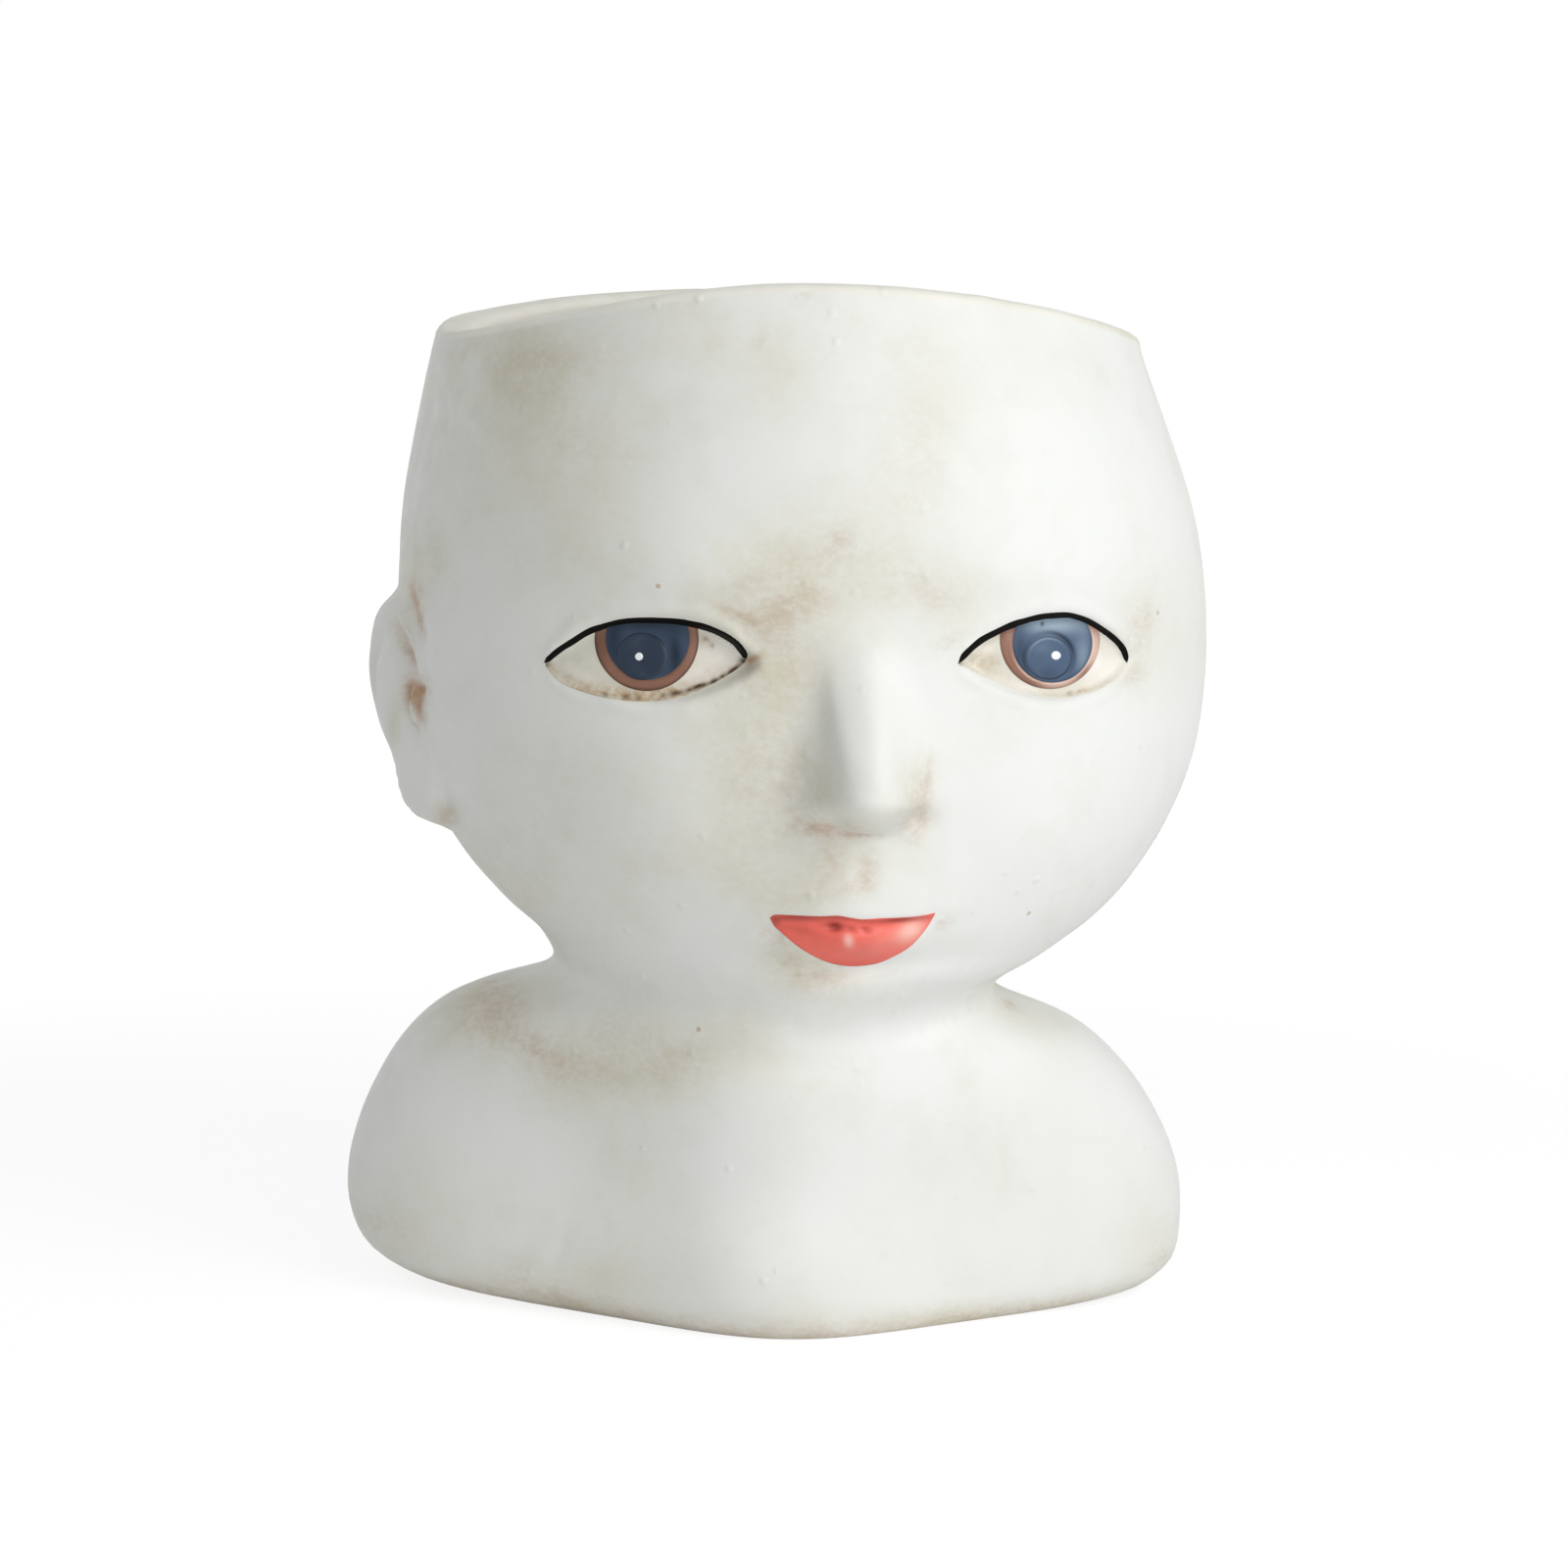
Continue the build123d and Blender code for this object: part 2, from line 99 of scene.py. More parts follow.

# Soft spots of each painted piece by tone: place across and down, half width, half height, turn, strength.
# The light spots are painted light and highlights on the lit sides of the eye whites, rings, irises and
# lips; the dark spots are dark paint lines and flecks, and painted shade over the shaded right eye, under
# the lids and in the lips' parting
PAINT_SPOTS = {
    "eyeball_right": {
        "dark": [
            (557, 678, 5, 3, 0, 0.7), (720, 652, 3, 2, 30, 0.45), (727, 659, 1.8, 3, 0, 0.4),
            (714, 700, 8, 2.2, -16, 1.6), (690, 707, 7, 2.2, -8, 1.2), (729, 695, 5, 2.2, -24, 1.3),
            (748, 684, 9, 2.4, -36, 1.3), (639, 711, 4, 2.5, 0, 0.8), (651, 712, 3, 2, 0, 0.7),
            (618, 708.5, 4, 2, 10, 0.7), (703, 704, 3, 2, 0, 0.9), (759, 674, 5, 4, 0, 1),
            (737, 690, 3, 2, -30, 0.9), (677, 709, 3, 1.6, 0, 0.7),
        ],
        "light": [(735, 666, 26, 18, 0, 0.75), (705, 690, 26, 10, 0, 0.45)],
        "stain": [
            (585, 698, 24, 7, 30, 0.6), (622, 706, 36, 8, 8, 0.7), (672, 709, 46, 8, -5, 0.85),
            (733, 694, 26, 7, -28, 0.65), (562, 683, 10, 6, 35, 0.6), (722, 656, 6, 8, -50, 1.4),
            (726, 668, 5, 4, 0, 0.5), (722, 685, 4, 3, 0, 0.5), (751, 681, 9, 5, -30, 0.7),
            (700, 700, 60, 7, -18, 0.4), (720, 675, 14, 9, 0, 0.2),
        ],
    },
    "iris_ring_right": {
        "dark": [(612, 658, 8, 26, 0, 0.5), (660, 704, 30, 4, 0, 0.2)],
        "light": [(708, 662, 7, 24, 0, 0.06)],
    },
    # Painted shade over the whole right iris, darkest under the lid, and small painted highlights
    "iris_right": {
        "dark": [
            (661, 651, 200, 200, 0, 0.5), (661, 634, 45, 9, 0, 0.4), (626, 655, 10, 30, 0, 0.35),
            (689, 668, 6, 18, 0, 0.4),
        ],
        "light": [(640, 645, 10, 10, 0, 0.05), (697, 645, 5, 14, 0, 0.06)],
    },
    # Painted shade over the whole right pupil and a small painted highlight
    "pupil_right": {
        "dark": [(655, 670, 200, 200, 0, 0.82)],
        "light": [(650, 655, 12, 8, 0, 0.06)],
    },
    "eyeball_left": {
        "dark": [
            (1091, 707.5, 2.6, 1.8, 0, 0.5), (1101, 705, 1.8, 1.4, 0, 0.35), (980, 676.5, 4, 2, 20, 0.5),
        ],
        "light": [
            (1120, 680, 26, 18, 0, 0.85), (1050, 700, 16, 8, 0, 0.5), (1000, 662, 12, 8, -20, 0.4),
        ],
        "stain": [
            (1002, 674, 24, 12, 25, 0.55), (1060, 704, 30, 5, 6, 0.3), (1105, 704, 12, 3, -12, 0.7),
            (1128, 696, 10, 3, -28, 0.55),
        ],
    },
    # Painted light on the left ring's lit side
    "iris_ring_left": {
        "light": [
            (1117, 664, 8, 30, 0, 0.85), (1084, 699, 26, 6, -12, 0.6), (1030, 645, 4, 12, 0, 0.15),
        ],
    },
    "iris_left": {
        "dark": [(1041, 664, 8, 26, 0, 0.5), (1063.5, 636.5, 1.8, 2.2, 0, 0.9)],
        "light": [(1076, 637, 34, 9, 0, 0.75), (1105, 668, 7, 20, 0, 0.32), (1048, 692, 5, 5, 40, 0.35)],
    },
    "pupil_left": {
        "dark": [(1068, 688, 15, 8, 0, 0.25)],
        "light": [(1064, 661, 13, 7, 0, 0.1)],
    },
    # Dark lines and painted shade in the parting and dimples; a painted highlight and painted light on the
    # lower lip
    "lips": {
        "dark": [
            (815, 936, 36, 4, 0, 0.85), (866, 937, 22, 2.4, 6, 0.6), (924, 937.5, 28, 2.8, -4, 0.7),
            (791, 941, 6, 5, 40, 0.5), (852, 945.5, 9, 4.6, 6, 1.15), (868, 947.5, 5, 2.5, 0, 0.5),
            (882, 948.5, 4.5, 2.5, 0, 0.55), (815, 948, 20, 5, 12, 0.35), (912, 940, 16, 3, -3, 0.4),
            (818, 969, 22, 2, 38, 0.35), (868, 983, 34, 2, 0, 0.2),
        ],
        "light": [
            (866, 960, 5, 7, -12, 0.95), (930, 949, 15, 10, -35, 0.9), (912, 957, 30, 10, -18, 0.2),
        ],
    },
}

# Thin arcs of each painted piece: tone, middle across and down, radius, its share in height, width,
# middle angle, half angle, strength. The light arcs on the pupils are painted highlights on the raised
# discs' rims, the dark arcs round the left pupil and on its disc are painted shadow, and the arcs along the
# rings' and irises' edges are painted edge lines
PAINT_ARCS = {
    "iris_ring_right": [
        ("dark", 660, 652, 52.4, 1, 1.5, 90, 200, 0.75), ("dark", 661, 651, 43, 1, 1.3, 90, 200, 0.45),
    ],
    "pupil_right": [
        ("light", 655.5, 669.5, 24.6, DISC_HEIGHT_SHARE, 1.3, 15, 50, 0.42),
        ("light", 655.5, 669.5, 24.6, DISC_HEIGHT_SHARE, 1.5, -140, 60, 0.16),
        ("light", 655.5, 669.5, 19.5, DISC_HEIGHT_SHARE, 1.6, -90, 60, 0.07),
    ],
    "iris_ring_left": [
        ("dark", 1071, 652, 50.4, 1, 1.4, 140, 75, 0.65), ("light", 1073.5, 656, 41.8, 1, 1.2, 45, 60, 0.8),
        ("light", 1073.5, 656, 41.6, 1, 1.3, 128, 32, 0.75),
    ],
    "iris_left": [
        ("dark", 1069.8, 671.5, 26.2, 1, 2.3, -45, 60, 0.9),
        ("dark", 1069.8, 671.5, 25, 1, 1.5, 150, 60, 0.5),
        ("dark", 1073.5, 656, 40, 1, 1.6, 90, 200, 0.35),
    ],
    "pupil_left": [
        ("light", 1069.8, 671.5, 21.6, DISC_HEIGHT_SHARE, 1.4, -100, 48, 0.42),
        ("dark", 1069.8, 671.5, 23.6, DISC_HEIGHT_SHARE, 1.3, 60, 150, 0.75),
    ],
}


def length(name, text, value):
    """A size that a user may change, in metres."""
    return bpy.props.FloatProperty(name=name, description=text, default=value, unit="LENGTH", precision=5)


def colour(name, text, value):
    """A colour that a user may change."""
    return bpy.props.FloatVectorProperty(name=name, description=text, default=value, subtype="COLOR",
                                         size=3, min=0, max=1)


def power(name, text, value):
    """A lamp's power that a user may change."""
    return bpy.props.FloatProperty(name=name, description=text, default=value, subtype="POWER")


class PlanterSizes(bpy.types.PropertyGroup):
    rim_rounding: length("Rim rounding", "Radius of the rim's two edges", 2.6 * MM)
    rim_waver: length("Rim waver", "How far the hand-finished rim strays from its arch", 0.35 * MM)
    lid_fold: length("Lid fold", "Rise of the skin just above an upper lid", 0.45 * MM)
    lid_step: length("Lid step", "How far the eye lies below the lids", 0.45 * MM)
    eye_bulge: length("Eye bulge", "How far an eye swells in its middle", 0.9 * MM)
    paint: length("Paint", "Thickness of one coat of paint", 0.07 * MM)
    lash_rise: length("Lash rise", "Height of the thick black lash line", 0.22 * MM)
    pupil_rise: length("Pupil rise", "Height of the raised disc in the iris", 0.75 * MM)
    lip_pillow: length("Lip pillow", "Extra fullness of the lower lip", 0.7 * MM)
    lip_dimple: length("Lip dimple", "Depth of the dimples at the parting", 0.9 * MM)
    philtrum: length("Philtrum", "Depth of the groove under the nose", 0.5 * MM)
    nose_round: length("Nose rounding", "Extra fullness under the tip of the nose", 2.1 * MM)
    nose_side: length("Nose side", "Extra fullness and hollow of the nose's right side", 1.6 * MM)
    ear_carving: length("Ear carving", "Depth of the hollows behind the right ear's carved edge", 0.8 * MM)
    arm_crease: length("Arm crease", "Depth of the creases between arms and chest", 0.45 * MM)
    hand_waver: length("Hand waver", "How far the hand-finished skin strays from its plan", 0.13 * MM)
    rim_dip: length("Rim dip", "How far the rim sinks at its front right", 3.4 * MM)
    coat: length("Coat", "How far a painted piece reaches into the casting", 0.5 * MM)


class PlanterFinish(bpy.types.PropertyGroup):
    whitewash: colour("Whitewash", "The pale main coat", (0.82, 0.825, 0.80))
    olive_wash: colour("Olive wash", "Thin beige-olive patches in the whitewash", (0.64, 0.62, 0.49))
    brown_wash: colour("Brown wash", "Antiquing left in the creases", (0.44, 0.255, 0.135))
    inside_wash: colour("Inside wash", "The coat on the inner wall", (0.85, 0.83, 0.76))
    eye_white: colour("Eye white", "The eyes' pale coat", (0.74, 0.715, 0.62))
    # Painted light on the lit side of the eye whites
    eye_painted_light: colour("Eye light", "The brightest part of the eyes' pale coat", (0.93, 0.885, 0.82))
    eye_stain: colour("Eye stain", "The tan wash along the lids", (0.50, 0.36, 0.21))
    fleck_brown: colour("Fleck brown", "Flecks and dashes along the lids", (0.07, 0.035, 0.015))
    ring_brown: colour("Ring brown", "The ring round the iris", (0.29, 0.145, 0.10))
    # Dark edge lines of the rings and painted shade on their shaded sides
    ring_lines_and_shade: colour("Ring dark", "The ring's edges", (0.09, 0.045, 0.03))
    # Painted light on the rings' lit sides
    ring_painted_light: colour("Ring light", "The ring's pink side", (0.74, 0.54, 0.46))
    iris_blue: colour("Iris blue", "The iris", (0.085, 0.13, 0.21))
    pupil_blue: colour("Pupil blue", "The raised disc", (0.075, 0.118, 0.195))
    # Painted shade over the shaded eye's iris and pupil and under the lids
    blue_painted_shade: colour("Blue dark", "The darkest blue of the eyes", (0.010, 0.018, 0.032))
    # Painted highlights on the irises and on the pupils' raised rims
    blue_painted_light: colour("Blue light", "The lightest blue of the eyes", (0.42, 0.52, 0.60))
    dot_white: colour("Dot white", "The highlight dot", (0.90, 0.92, 0.93))
    lash_black: colour("Lash black", "The lash line", (0.006, 0.0055, 0.005))
    lip_coral: colour("Lip coral", "The lips", (0.88, 0.145, 0.105))
    # Dark lines of the lips and painted shade in their parting and dimples
    lip_lines_and_shade: colour("Lip dark", "The parting and edges of the lips", (0.34, 0.035, 0.022))
    # Painted highlight and painted light on the lower lip
    lip_painted_light: colour("Lip light", "The pink lights of the lips", (0.95, 0.52, 0.44))
    rubber: colour("Rubber", "The drain plug", (0.035, 0.034, 0.033))


class PlanterStage(bpy.types.PropertyGroup):
    eye_place: bpy.props.FloatVectorProperty(
        name="Camera place", description="Where the photograph was taken from", subtype="TRANSLATION",
        unit="LENGTH", size=3, default=(-17.51 * MM, -957.53 * MM, 228.5 * MM))
    aim_place: bpy.props.FloatVectorProperty(
        name="Aim", description="What the middle of the photograph shows", subtype="TRANSLATION",
        unit="LENGTH", size=3, default=(0.75 * MM, 2.32 * MM, 120.74 * MM))
    roll: bpy.props.FloatProperty(name="Roll", description="Turn of the camera about its sight line",
                                  default=math.radians(1.2), subtype="ANGLE")
    lens: bpy.props.FloatProperty(name="Lens", description="Focal length on a 36 mm sensor", default=91.8)
    key_power: power("Key power", "Power of the large lamp at the right", 8.3)
    low_power: power("Low power", "Power of the low lamp in front", 4.1)
    side_power: power("Side power", "Power of the weak lamp behind at the left", 1.9)
    fill: bpy.props.FloatProperty(name="Fill", description="Strength of the light from all round",
                                  default=0.36)


def sizes():
    return bpy.context.scene.planter_sizes


def finish_of():
    return bpy.context.scene.planter_finish


def stage_of():
    return bpy.context.scene.planter_stage


# Places in the photograph

def sight_axes():
    """The camera's place and its rightward, upward and forward directions."""
    stage = stage_of()
    eye = Vector(stage.eye_place)
    forward = (Vector(stage.aim_place) - eye).normalized()
    right = forward.cross(Vector((0, 0, 1))).normalized()
    up = right.cross(forward)
    turn = stage.roll
    cosine, sine = math.cos(turn), math.sin(turn)
    return eye, right * cosine + up * sine, up * cosine - right * sine, forward


def focal_pixels():
    return PICTURE_SIDE * stage_of().lens / 36


def picture_place(point, axes):
    """Where the photograph shows a point."""
    eye, right, up, forward = axes
    offset = point - eye
    scale = focal_pixels() / offset.dot(forward)
    half = PICTURE_SIDE / 2
    return half + offset.dot(right) * scale, half - offset.dot(up) * scale


def sight_line(x, y, axes):
    """The camera's place and the direction in which it sees a place of the photograph."""
    eye, right, up, forward = axes
    half = PICTURE_SIDE / 2
    return eye, (forward * focal_pixels() + right * (x - half) + up * (half - y)).normalized()


def along(line, x):
    """The height of a painted outline at a place across, on a smooth curve through its points."""
    if x <= line[0][0]:
        return line[0][1]
    if x >= line[-1][0]:
        return line[-1][1]
    i = max(k for k in range(len(line) - 1) if line[k][0] <= x)
    (x0, y0), (x1, y1) = line[i], line[i + 1]

    def slope(k):
        before, after = max(k - 1, 0), min(k + 1, len(line) - 1)
        return (line[after][1] - line[before][1]) / (line[after][0] - line[before][0])

    t = (x - x0) / (x1 - x0)
    return ((2 * t**3 - 3 * t**2 + 1) * y0 + (t**3 - 2 * t**2 + t) * slope(i) * (x1 - x0)
            + (3 * t**2 - 2 * t**3) * y1 + (t**3 - t**2) * slope(i + 1) * (x1 - x0))


def ease(start, end, value):
    """Runs smoothly from 0 at the start to 1 at the end."""
    t = min(max((value - start) / (end - start), 0), 1)
    return t * t * (3 - 2 * t)


def hill(x, y, x_middle, y_middle, x_size, y_size, turn=0):
    """A soft spot of strength 1, turned by an angle in degrees."""
    dx, dy = x - x_middle, y - y_middle
    if turn:
        angle = math.radians(turn)
        dx, dy = dx * math.cos(angle) + dy * math.sin(angle), dy * math.cos(angle) - dx * math.sin(angle)
    return math.exp(-(dx / x_size) ** 2 - (dy / y_size) ** 2)


# Surfaces that new pieces follow

def curved_shell(names):
    """Merged copies of CAD nodes to cast rays at, with their corner normals."""
    copy = bmesh.new()
    for name in names:
        copy.from_mesh(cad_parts[name].data)
    bmesh.ops.remove_doubles(copy, verts=copy.verts, dist=0.001 * MM)
    mesh = bpy.data.meshes.new("shell copy")
    copy.to_mesh(mesh)
    copy.free()
    mesh.set_sharp_from_angle(angle=math.radians(32))
    places = [vert.co.copy() for vert in mesh.vertices]
    faces = [tuple(face.vertices) for face in mesh.polygons]
    normals = [[mesh.corner_normals[i].vector.copy() for i in face.loop_indices] for face in mesh.polygons]
    bpy.data.meshes.remove(mesh)
    return BVHTree.FromPolygons(places, faces), places, faces, normals


def curved_hit(shell, start, direction):
    """Where a line meets the curved surface that a shell's flat faces stand for."""
    tree, places, faces, normals = shell
    hit, _, index, _ = tree.ray_cast(start, direction)
    if hit is None:
        return None
    corners = [places[i] for i in faces[index]]
    shares = poly_3d_calc(corners, hit)
    curved = Vector()
    for corner, normal, share in zip(corners, normals[index], shares):
        curved += share * (hit - normal * (hit - corner).dot(normal))
    return hit.lerp(curved, 0.8)


def spread(start, ends):
    """Evenly spaced values from a start through each stretch, given as its end and its number of steps."""
    values = [start]
    for end, count in ends:
        first = values[-1]
        values += [first + (end - first) * (i + 1) / count for i in range(count)]
    return values


# Azimuths round the casting in degrees, closest on the face and the ears
COLUMNS = spread(-180, [(-110, 16), (-97, 5), (-57, 66), (-42, 20), (57, 190), (84, 18), (126, 58),
                        (180, 18)])

# Heights up the outside in mm, closest at the eyes, nose base and mouth; the rest runs up to the rim
OUTER_ROWS = spread(0, [(3, 4), (62, 27), (88, 24), (104, 25), (117, 12), (131, 21), (146, 15), (170, 37),
                        (186, 13)])
CROWN_ROWS = 16
RIM_CORNER_ROWS = 4
RIM_FLAT_ROWS = 3
WELL_ROWS = 16
FLOOR_ROWS = 4
HOLE_ROWS = 2
CEILING_ROWS = 4
RECESS_ROWS = 6
FOOT_ROWS = 2

# Radius of the drain hole, height of the well's floor and a distance that clears the casting
HOLE_RADIUS = 8 * MM
WELL_FLOOR = 50 * MM
FAR_OUT = 0.3


class Casting:
    """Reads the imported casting, column by column."""

    def __init__(self):
        skins = ["head_casting", "lips", "lash_line_right", "lash_line_left"]
        for side in ("right", "left"):
            skins += [part + side for part in ("eyeball_", "iris_ring_", "iris_")]
        self.outside = curved_shell(skins)
        self.inside = curved_shell(["head_casting"])
        low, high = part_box("drain_plug")
        self.middle = (low + high) / 2
        self.recess_top = low.z
        self.hole = HOLE_RADIUS
        self.floor = WELL_FLOOR

    def axis(self, z):
        return Vector((self.middle.x, self.middle.y, z))

    def outer(self, way, z):
        """The outer skin's distance from the axis."""
        start = self.axis(z) + way * FAR_OUT
        return (curved_hit(self.outside, start, -way) - self.axis(z)).dot(way)

    def inner(self, way, z):
        """The inner wall's distance from the axis."""
        return (curved_hit(self.inside, self.axis(z), way) - self.axis(z)).dot(way)

    def rim_height(self, way):
        """The height of the rim's top in the middle of the wall."""
        top = 228 * MM
        for _ in range(3):
            wall_middle = (self.outer(way, top - 1 * MM) + self.inner(way, top - 1 * MM)) / 2
            above = self.axis(FAR_OUT) + way * wall_middle
            hit = self.inside[0].ray_cast(above, Vector((0, 0, -1)))[0]
            top = hit.z
        return top

    def profile(self, azimuth):
        """The places of one column, up the outside, over the rim and back through the inside."""
        angle = math.radians(azimuth)
        way = Vector((math.sin(angle), -math.cos(angle), 0))

        def run(z, start, end, count):
            return [self.axis(z) + way * (start + (end - start) * i / count) for i in range(1, count + 1)]

        rounding = sizes().rim_rounding
        waver = sizes().rim_waver * noise.noise(way * 3.1 + Vector((0, 0, 5)))
        dip = sizes().rim_dip * ease(2, -56, azimuth) * ease(-106, -68, azimuth)
        rim = self.rim_height(way) - abs(waver) - dip
        shoulder = rim - rounding
        heights = [z * MM for z in OUTER_ROWS]
        last = heights[-1]
        heights += [last + (shoulder - last) * (i + 1) / CROWN_ROWS for i in range(CROWN_ROWS)]
        column = [self.axis(z) + way * self.outer(way, max(z, 0.05 * MM)) for z in heights]
        outer, inner = self.outer(way, shoulder), self.inner(way, shoulder)
        quarter = math.pi / 2
        for i in range(1, RIM_CORNER_ROWS + 1):
            a = quarter * i / RIM_CORNER_ROWS
            column.append(self.axis(shoulder + rounding * math.sin(a))
                          + way * (outer - rounding * (1 - math.cos(a))))
        column += run(rim, outer - rounding, inner + rounding, RIM_FLAT_ROWS)[:-1]
        for i in range(RIM_CORNER_ROWS + 1):
            a = quarter * i / RIM_CORNER_ROWS
            column.append(self.axis(shoulder + rounding * math.cos(a))
                          + way * (inner + rounding * (1 - math.sin(a))))
        floor = self.floor + 0.05 * MM
        for i in range(1, WELL_ROWS + 1):
            z = shoulder + (floor - shoulder) * (i / WELL_ROWS) ** 1.2
            column.append(self.axis(z) + way * self.inner(way, z))
        column += run(self.floor, self.inner(way, floor), self.hole, FLOOR_ROWS)
        for i in range(1, HOLE_ROWS + 1):
            z = self.floor + (self.recess_top - self.floor) * i / HOLE_ROWS
            column.append(self.axis(z) + way * self.hole)
        reach = self.inner(way, self.recess_top - 0.05 * MM)
        column += run(self.recess_top, self.hole, reach, CEILING_ROWS)
        for i in range(1, RECESS_ROWS + 1):
            z = self.recess_top * (1 - i / RECESS_ROWS)
            column.append(self.axis(z) + way * self.inner(way, max(z, 0.05 * MM)))
        foot_in, foot_out = (column[-1] - self.axis(0)).length, (column[0] - self.axis(0)).length
        return column + run(0, foot_in, foot_out, FOOT_ROWS)


EYES = {"right": (RIGHT_LASH, RIGHT_LOWER_LID), "left": (LEFT_LASH, LEFT_LOWER_LID)}


def eye_relief(x, y):
    """How far the lids rise and the eyes sink at a place of the photograph, in metres."""
    size = sizes()
    relief = 0
    for lash, lower in EYES.values():
        if not (lash[0][0] - 30 < x < lash[-1][0] + 30 and 600 < y < 740):
            continue
        ends = ease(lash[0][0] - 14, lash[0][0] + 10, x) * ease(lash[-1][0] + 14, lash[-1][0] - 10, x)
        below_lash = y - along(lash, x)
        above_lid = along(lower, x) - y
        depth = min(below_lash, above_lid)
        if lash[0][0] < x < lash[-1][0]:
            corner = min(x - lash[0][0], lash[-1][0] - x)
            relief -= size.lid_step * ease(-4, 7, depth) * ease(0, 14, corner)
            across = (2 * x - lash[0][0] - lash[-1][0]) / (lash[-1][0] - lash[0][0])
            relief += size.eye_bulge * (1 - across ** 2) * ease(0, 32, depth)
        relief += ends * size.lid_fold * math.exp(-((below_lash + 10) / 8) ** 2)
        relief += ends * 0.5 * size.lid_fold * math.exp(-((above_lid + 9) / 7) ** 2)
    return relief


# The carved edge in the right ear, as its places down and across in the photograph
EAR_EDGE = [(612, 400), (634, 410.5), (661, 423), (684, 429.5), (705, 437), (720, 431.6), (739, 430.5),
            (760, 433)]


def ear_relief(x, y):
    """How far the right ear's carved edge stands over the hollows behind it, in metres."""
    if not (380 < x < 460 and EAR_EDGE[0][0] < y < EAR_EDGE[-1][0]):
        return 0
    aside = x - along(EAR_EDGE, y)
    ends = ease(EAR_EDGE[0][0], EAR_EDGE[0][0] + 20, y) * ease(EAR_EDGE[-1][0], EAR_EDGE[-1][0] - 20, y)
    hollow = math.exp(-((aside + 7) / 5) ** 2)
    edge = math.exp(-((aside - 2) / 3) ** 2)
    return sizes().ear_carving * ends * (0.5 * edge - hollow)


# Dimples along the parting of the lips: place across, height, half width and half height, strength
LIP_DIMPLES = [(852, 947, 8, 4, 1.0), (868, 948.5, 5, 3, 0.6), (883, 949.5, 5, 3, 0.7),
               (812, 942, 14, 3, 0.4), (922, 941, 14, 3, 0.4)]


def mouth_relief(x, y):
    """How far the lips rise at a place of the photograph, in metres."""
    if not (770 < x < 970 and 915 < y < 1005):
        return 0
    size = sizes()
    relief = size.lip_pillow * hill(x, y, 873, 962, 42, 13)
    for *dimple, strength in LIP_DIMPLES:
        relief -= strength * size.lip_dimple * hill(x, y, *dimple)
    relief -= 0.35 * size.lip_dimple * hill(x, y, 872, 994, 50, 6)
    return relief


def nose_relief(x, y):
    """The groove under the nose, its rounded tip and its full right side, in metres."""
    size = sizes()
    relief = -size.philtrum * hill(x, y, 884, 890, 12, 26)
    relief += size.nose_round * hill(x, y, 888, 838, 25, 10)
    relief -= 0.6 * size.nose_round * hill(x, y, 941, 838, 14, 12, -30)
    relief += size.nose_side * hill(x, y, 860, 752, 15, 72, -8)
    relief -= 0.4 * size.nose_side * hill(x, y, 814, 792, 20, 52, -4)
    return relief


def bust_relief(x, y):
    """The shallow creases beside the arms, in metres."""
    crease = sizes().arm_crease
    relief = -crease * hill(x, y, 1018, 1155, 7, 42, -4)
    relief -= 0.8 * crease * hill(x, y, 572, 1270, 7, 26, 24)
    return relief


def smooth(shape, verts):
    bmesh.ops.smooth_vert(shape, verts=verts, factor=0.5, use_axis_x=True, use_axis_y=True, use_axis_z=True)


# The crease under the left of the jaw that is softened: middle, half width, half height and turn
THROAT = (898, 1032, 88, 42, -9)
THROAT_REACHES = [1.0, 0.9, 0.8, 0.7, 0.6]
THROAT_PASSES = 9


def soften_throat(shape, axes, outer_rows):
    """Smooths the crease under the left of the jaw, less and less towards its edges."""
    row_of = shape.verts.layers.int["row"]
    shape.normal_update()
    near = []
    for vert in shape.verts:
        if vert[row_of] <= outer_rows and vert.co.y < 0 and vert.normal.y < 0.3:
            share = hill(*picture_place(vert.co, axes), *THROAT)
            if share > math.exp(-1):
                near.append((vert, math.sqrt(-math.log(share))))
    for reach in THROAT_REACHES:
        chosen = [vert for vert, far in near if far < reach]
        for _ in range(THROAT_PASSES):
            smooth(shape, chosen)


def sculpt(shape, axes, outer_rows):
    """Adds the small forms that the photograph shows to the front of the casting."""
    row_of = shape.verts.layers.int["row"]
    shape.normal_update()
    moves = []
    for vert in shape.verts:
        if vert[row_of] > outer_rows or vert.co.z < 5 * MM:
            continue
        rise = sizes().hand_waver * (noise.noise(vert.co * 55) + 0.5 * noise.noise(vert.co * 140) - 0.6)
        if vert.co.y < 0.01 and vert.normal.y < -0.05:
            x, y = picture_place(vert.co, axes)
            rise += eye_relief(x, y) + mouth_relief(x, y) + nose_relief(x, y)
            rise += ear_relief(x, y) + bust_relief(x, y)
        moves.append((vert, vert.normal * rise))
    for vert, move in moves:
        vert.co += move
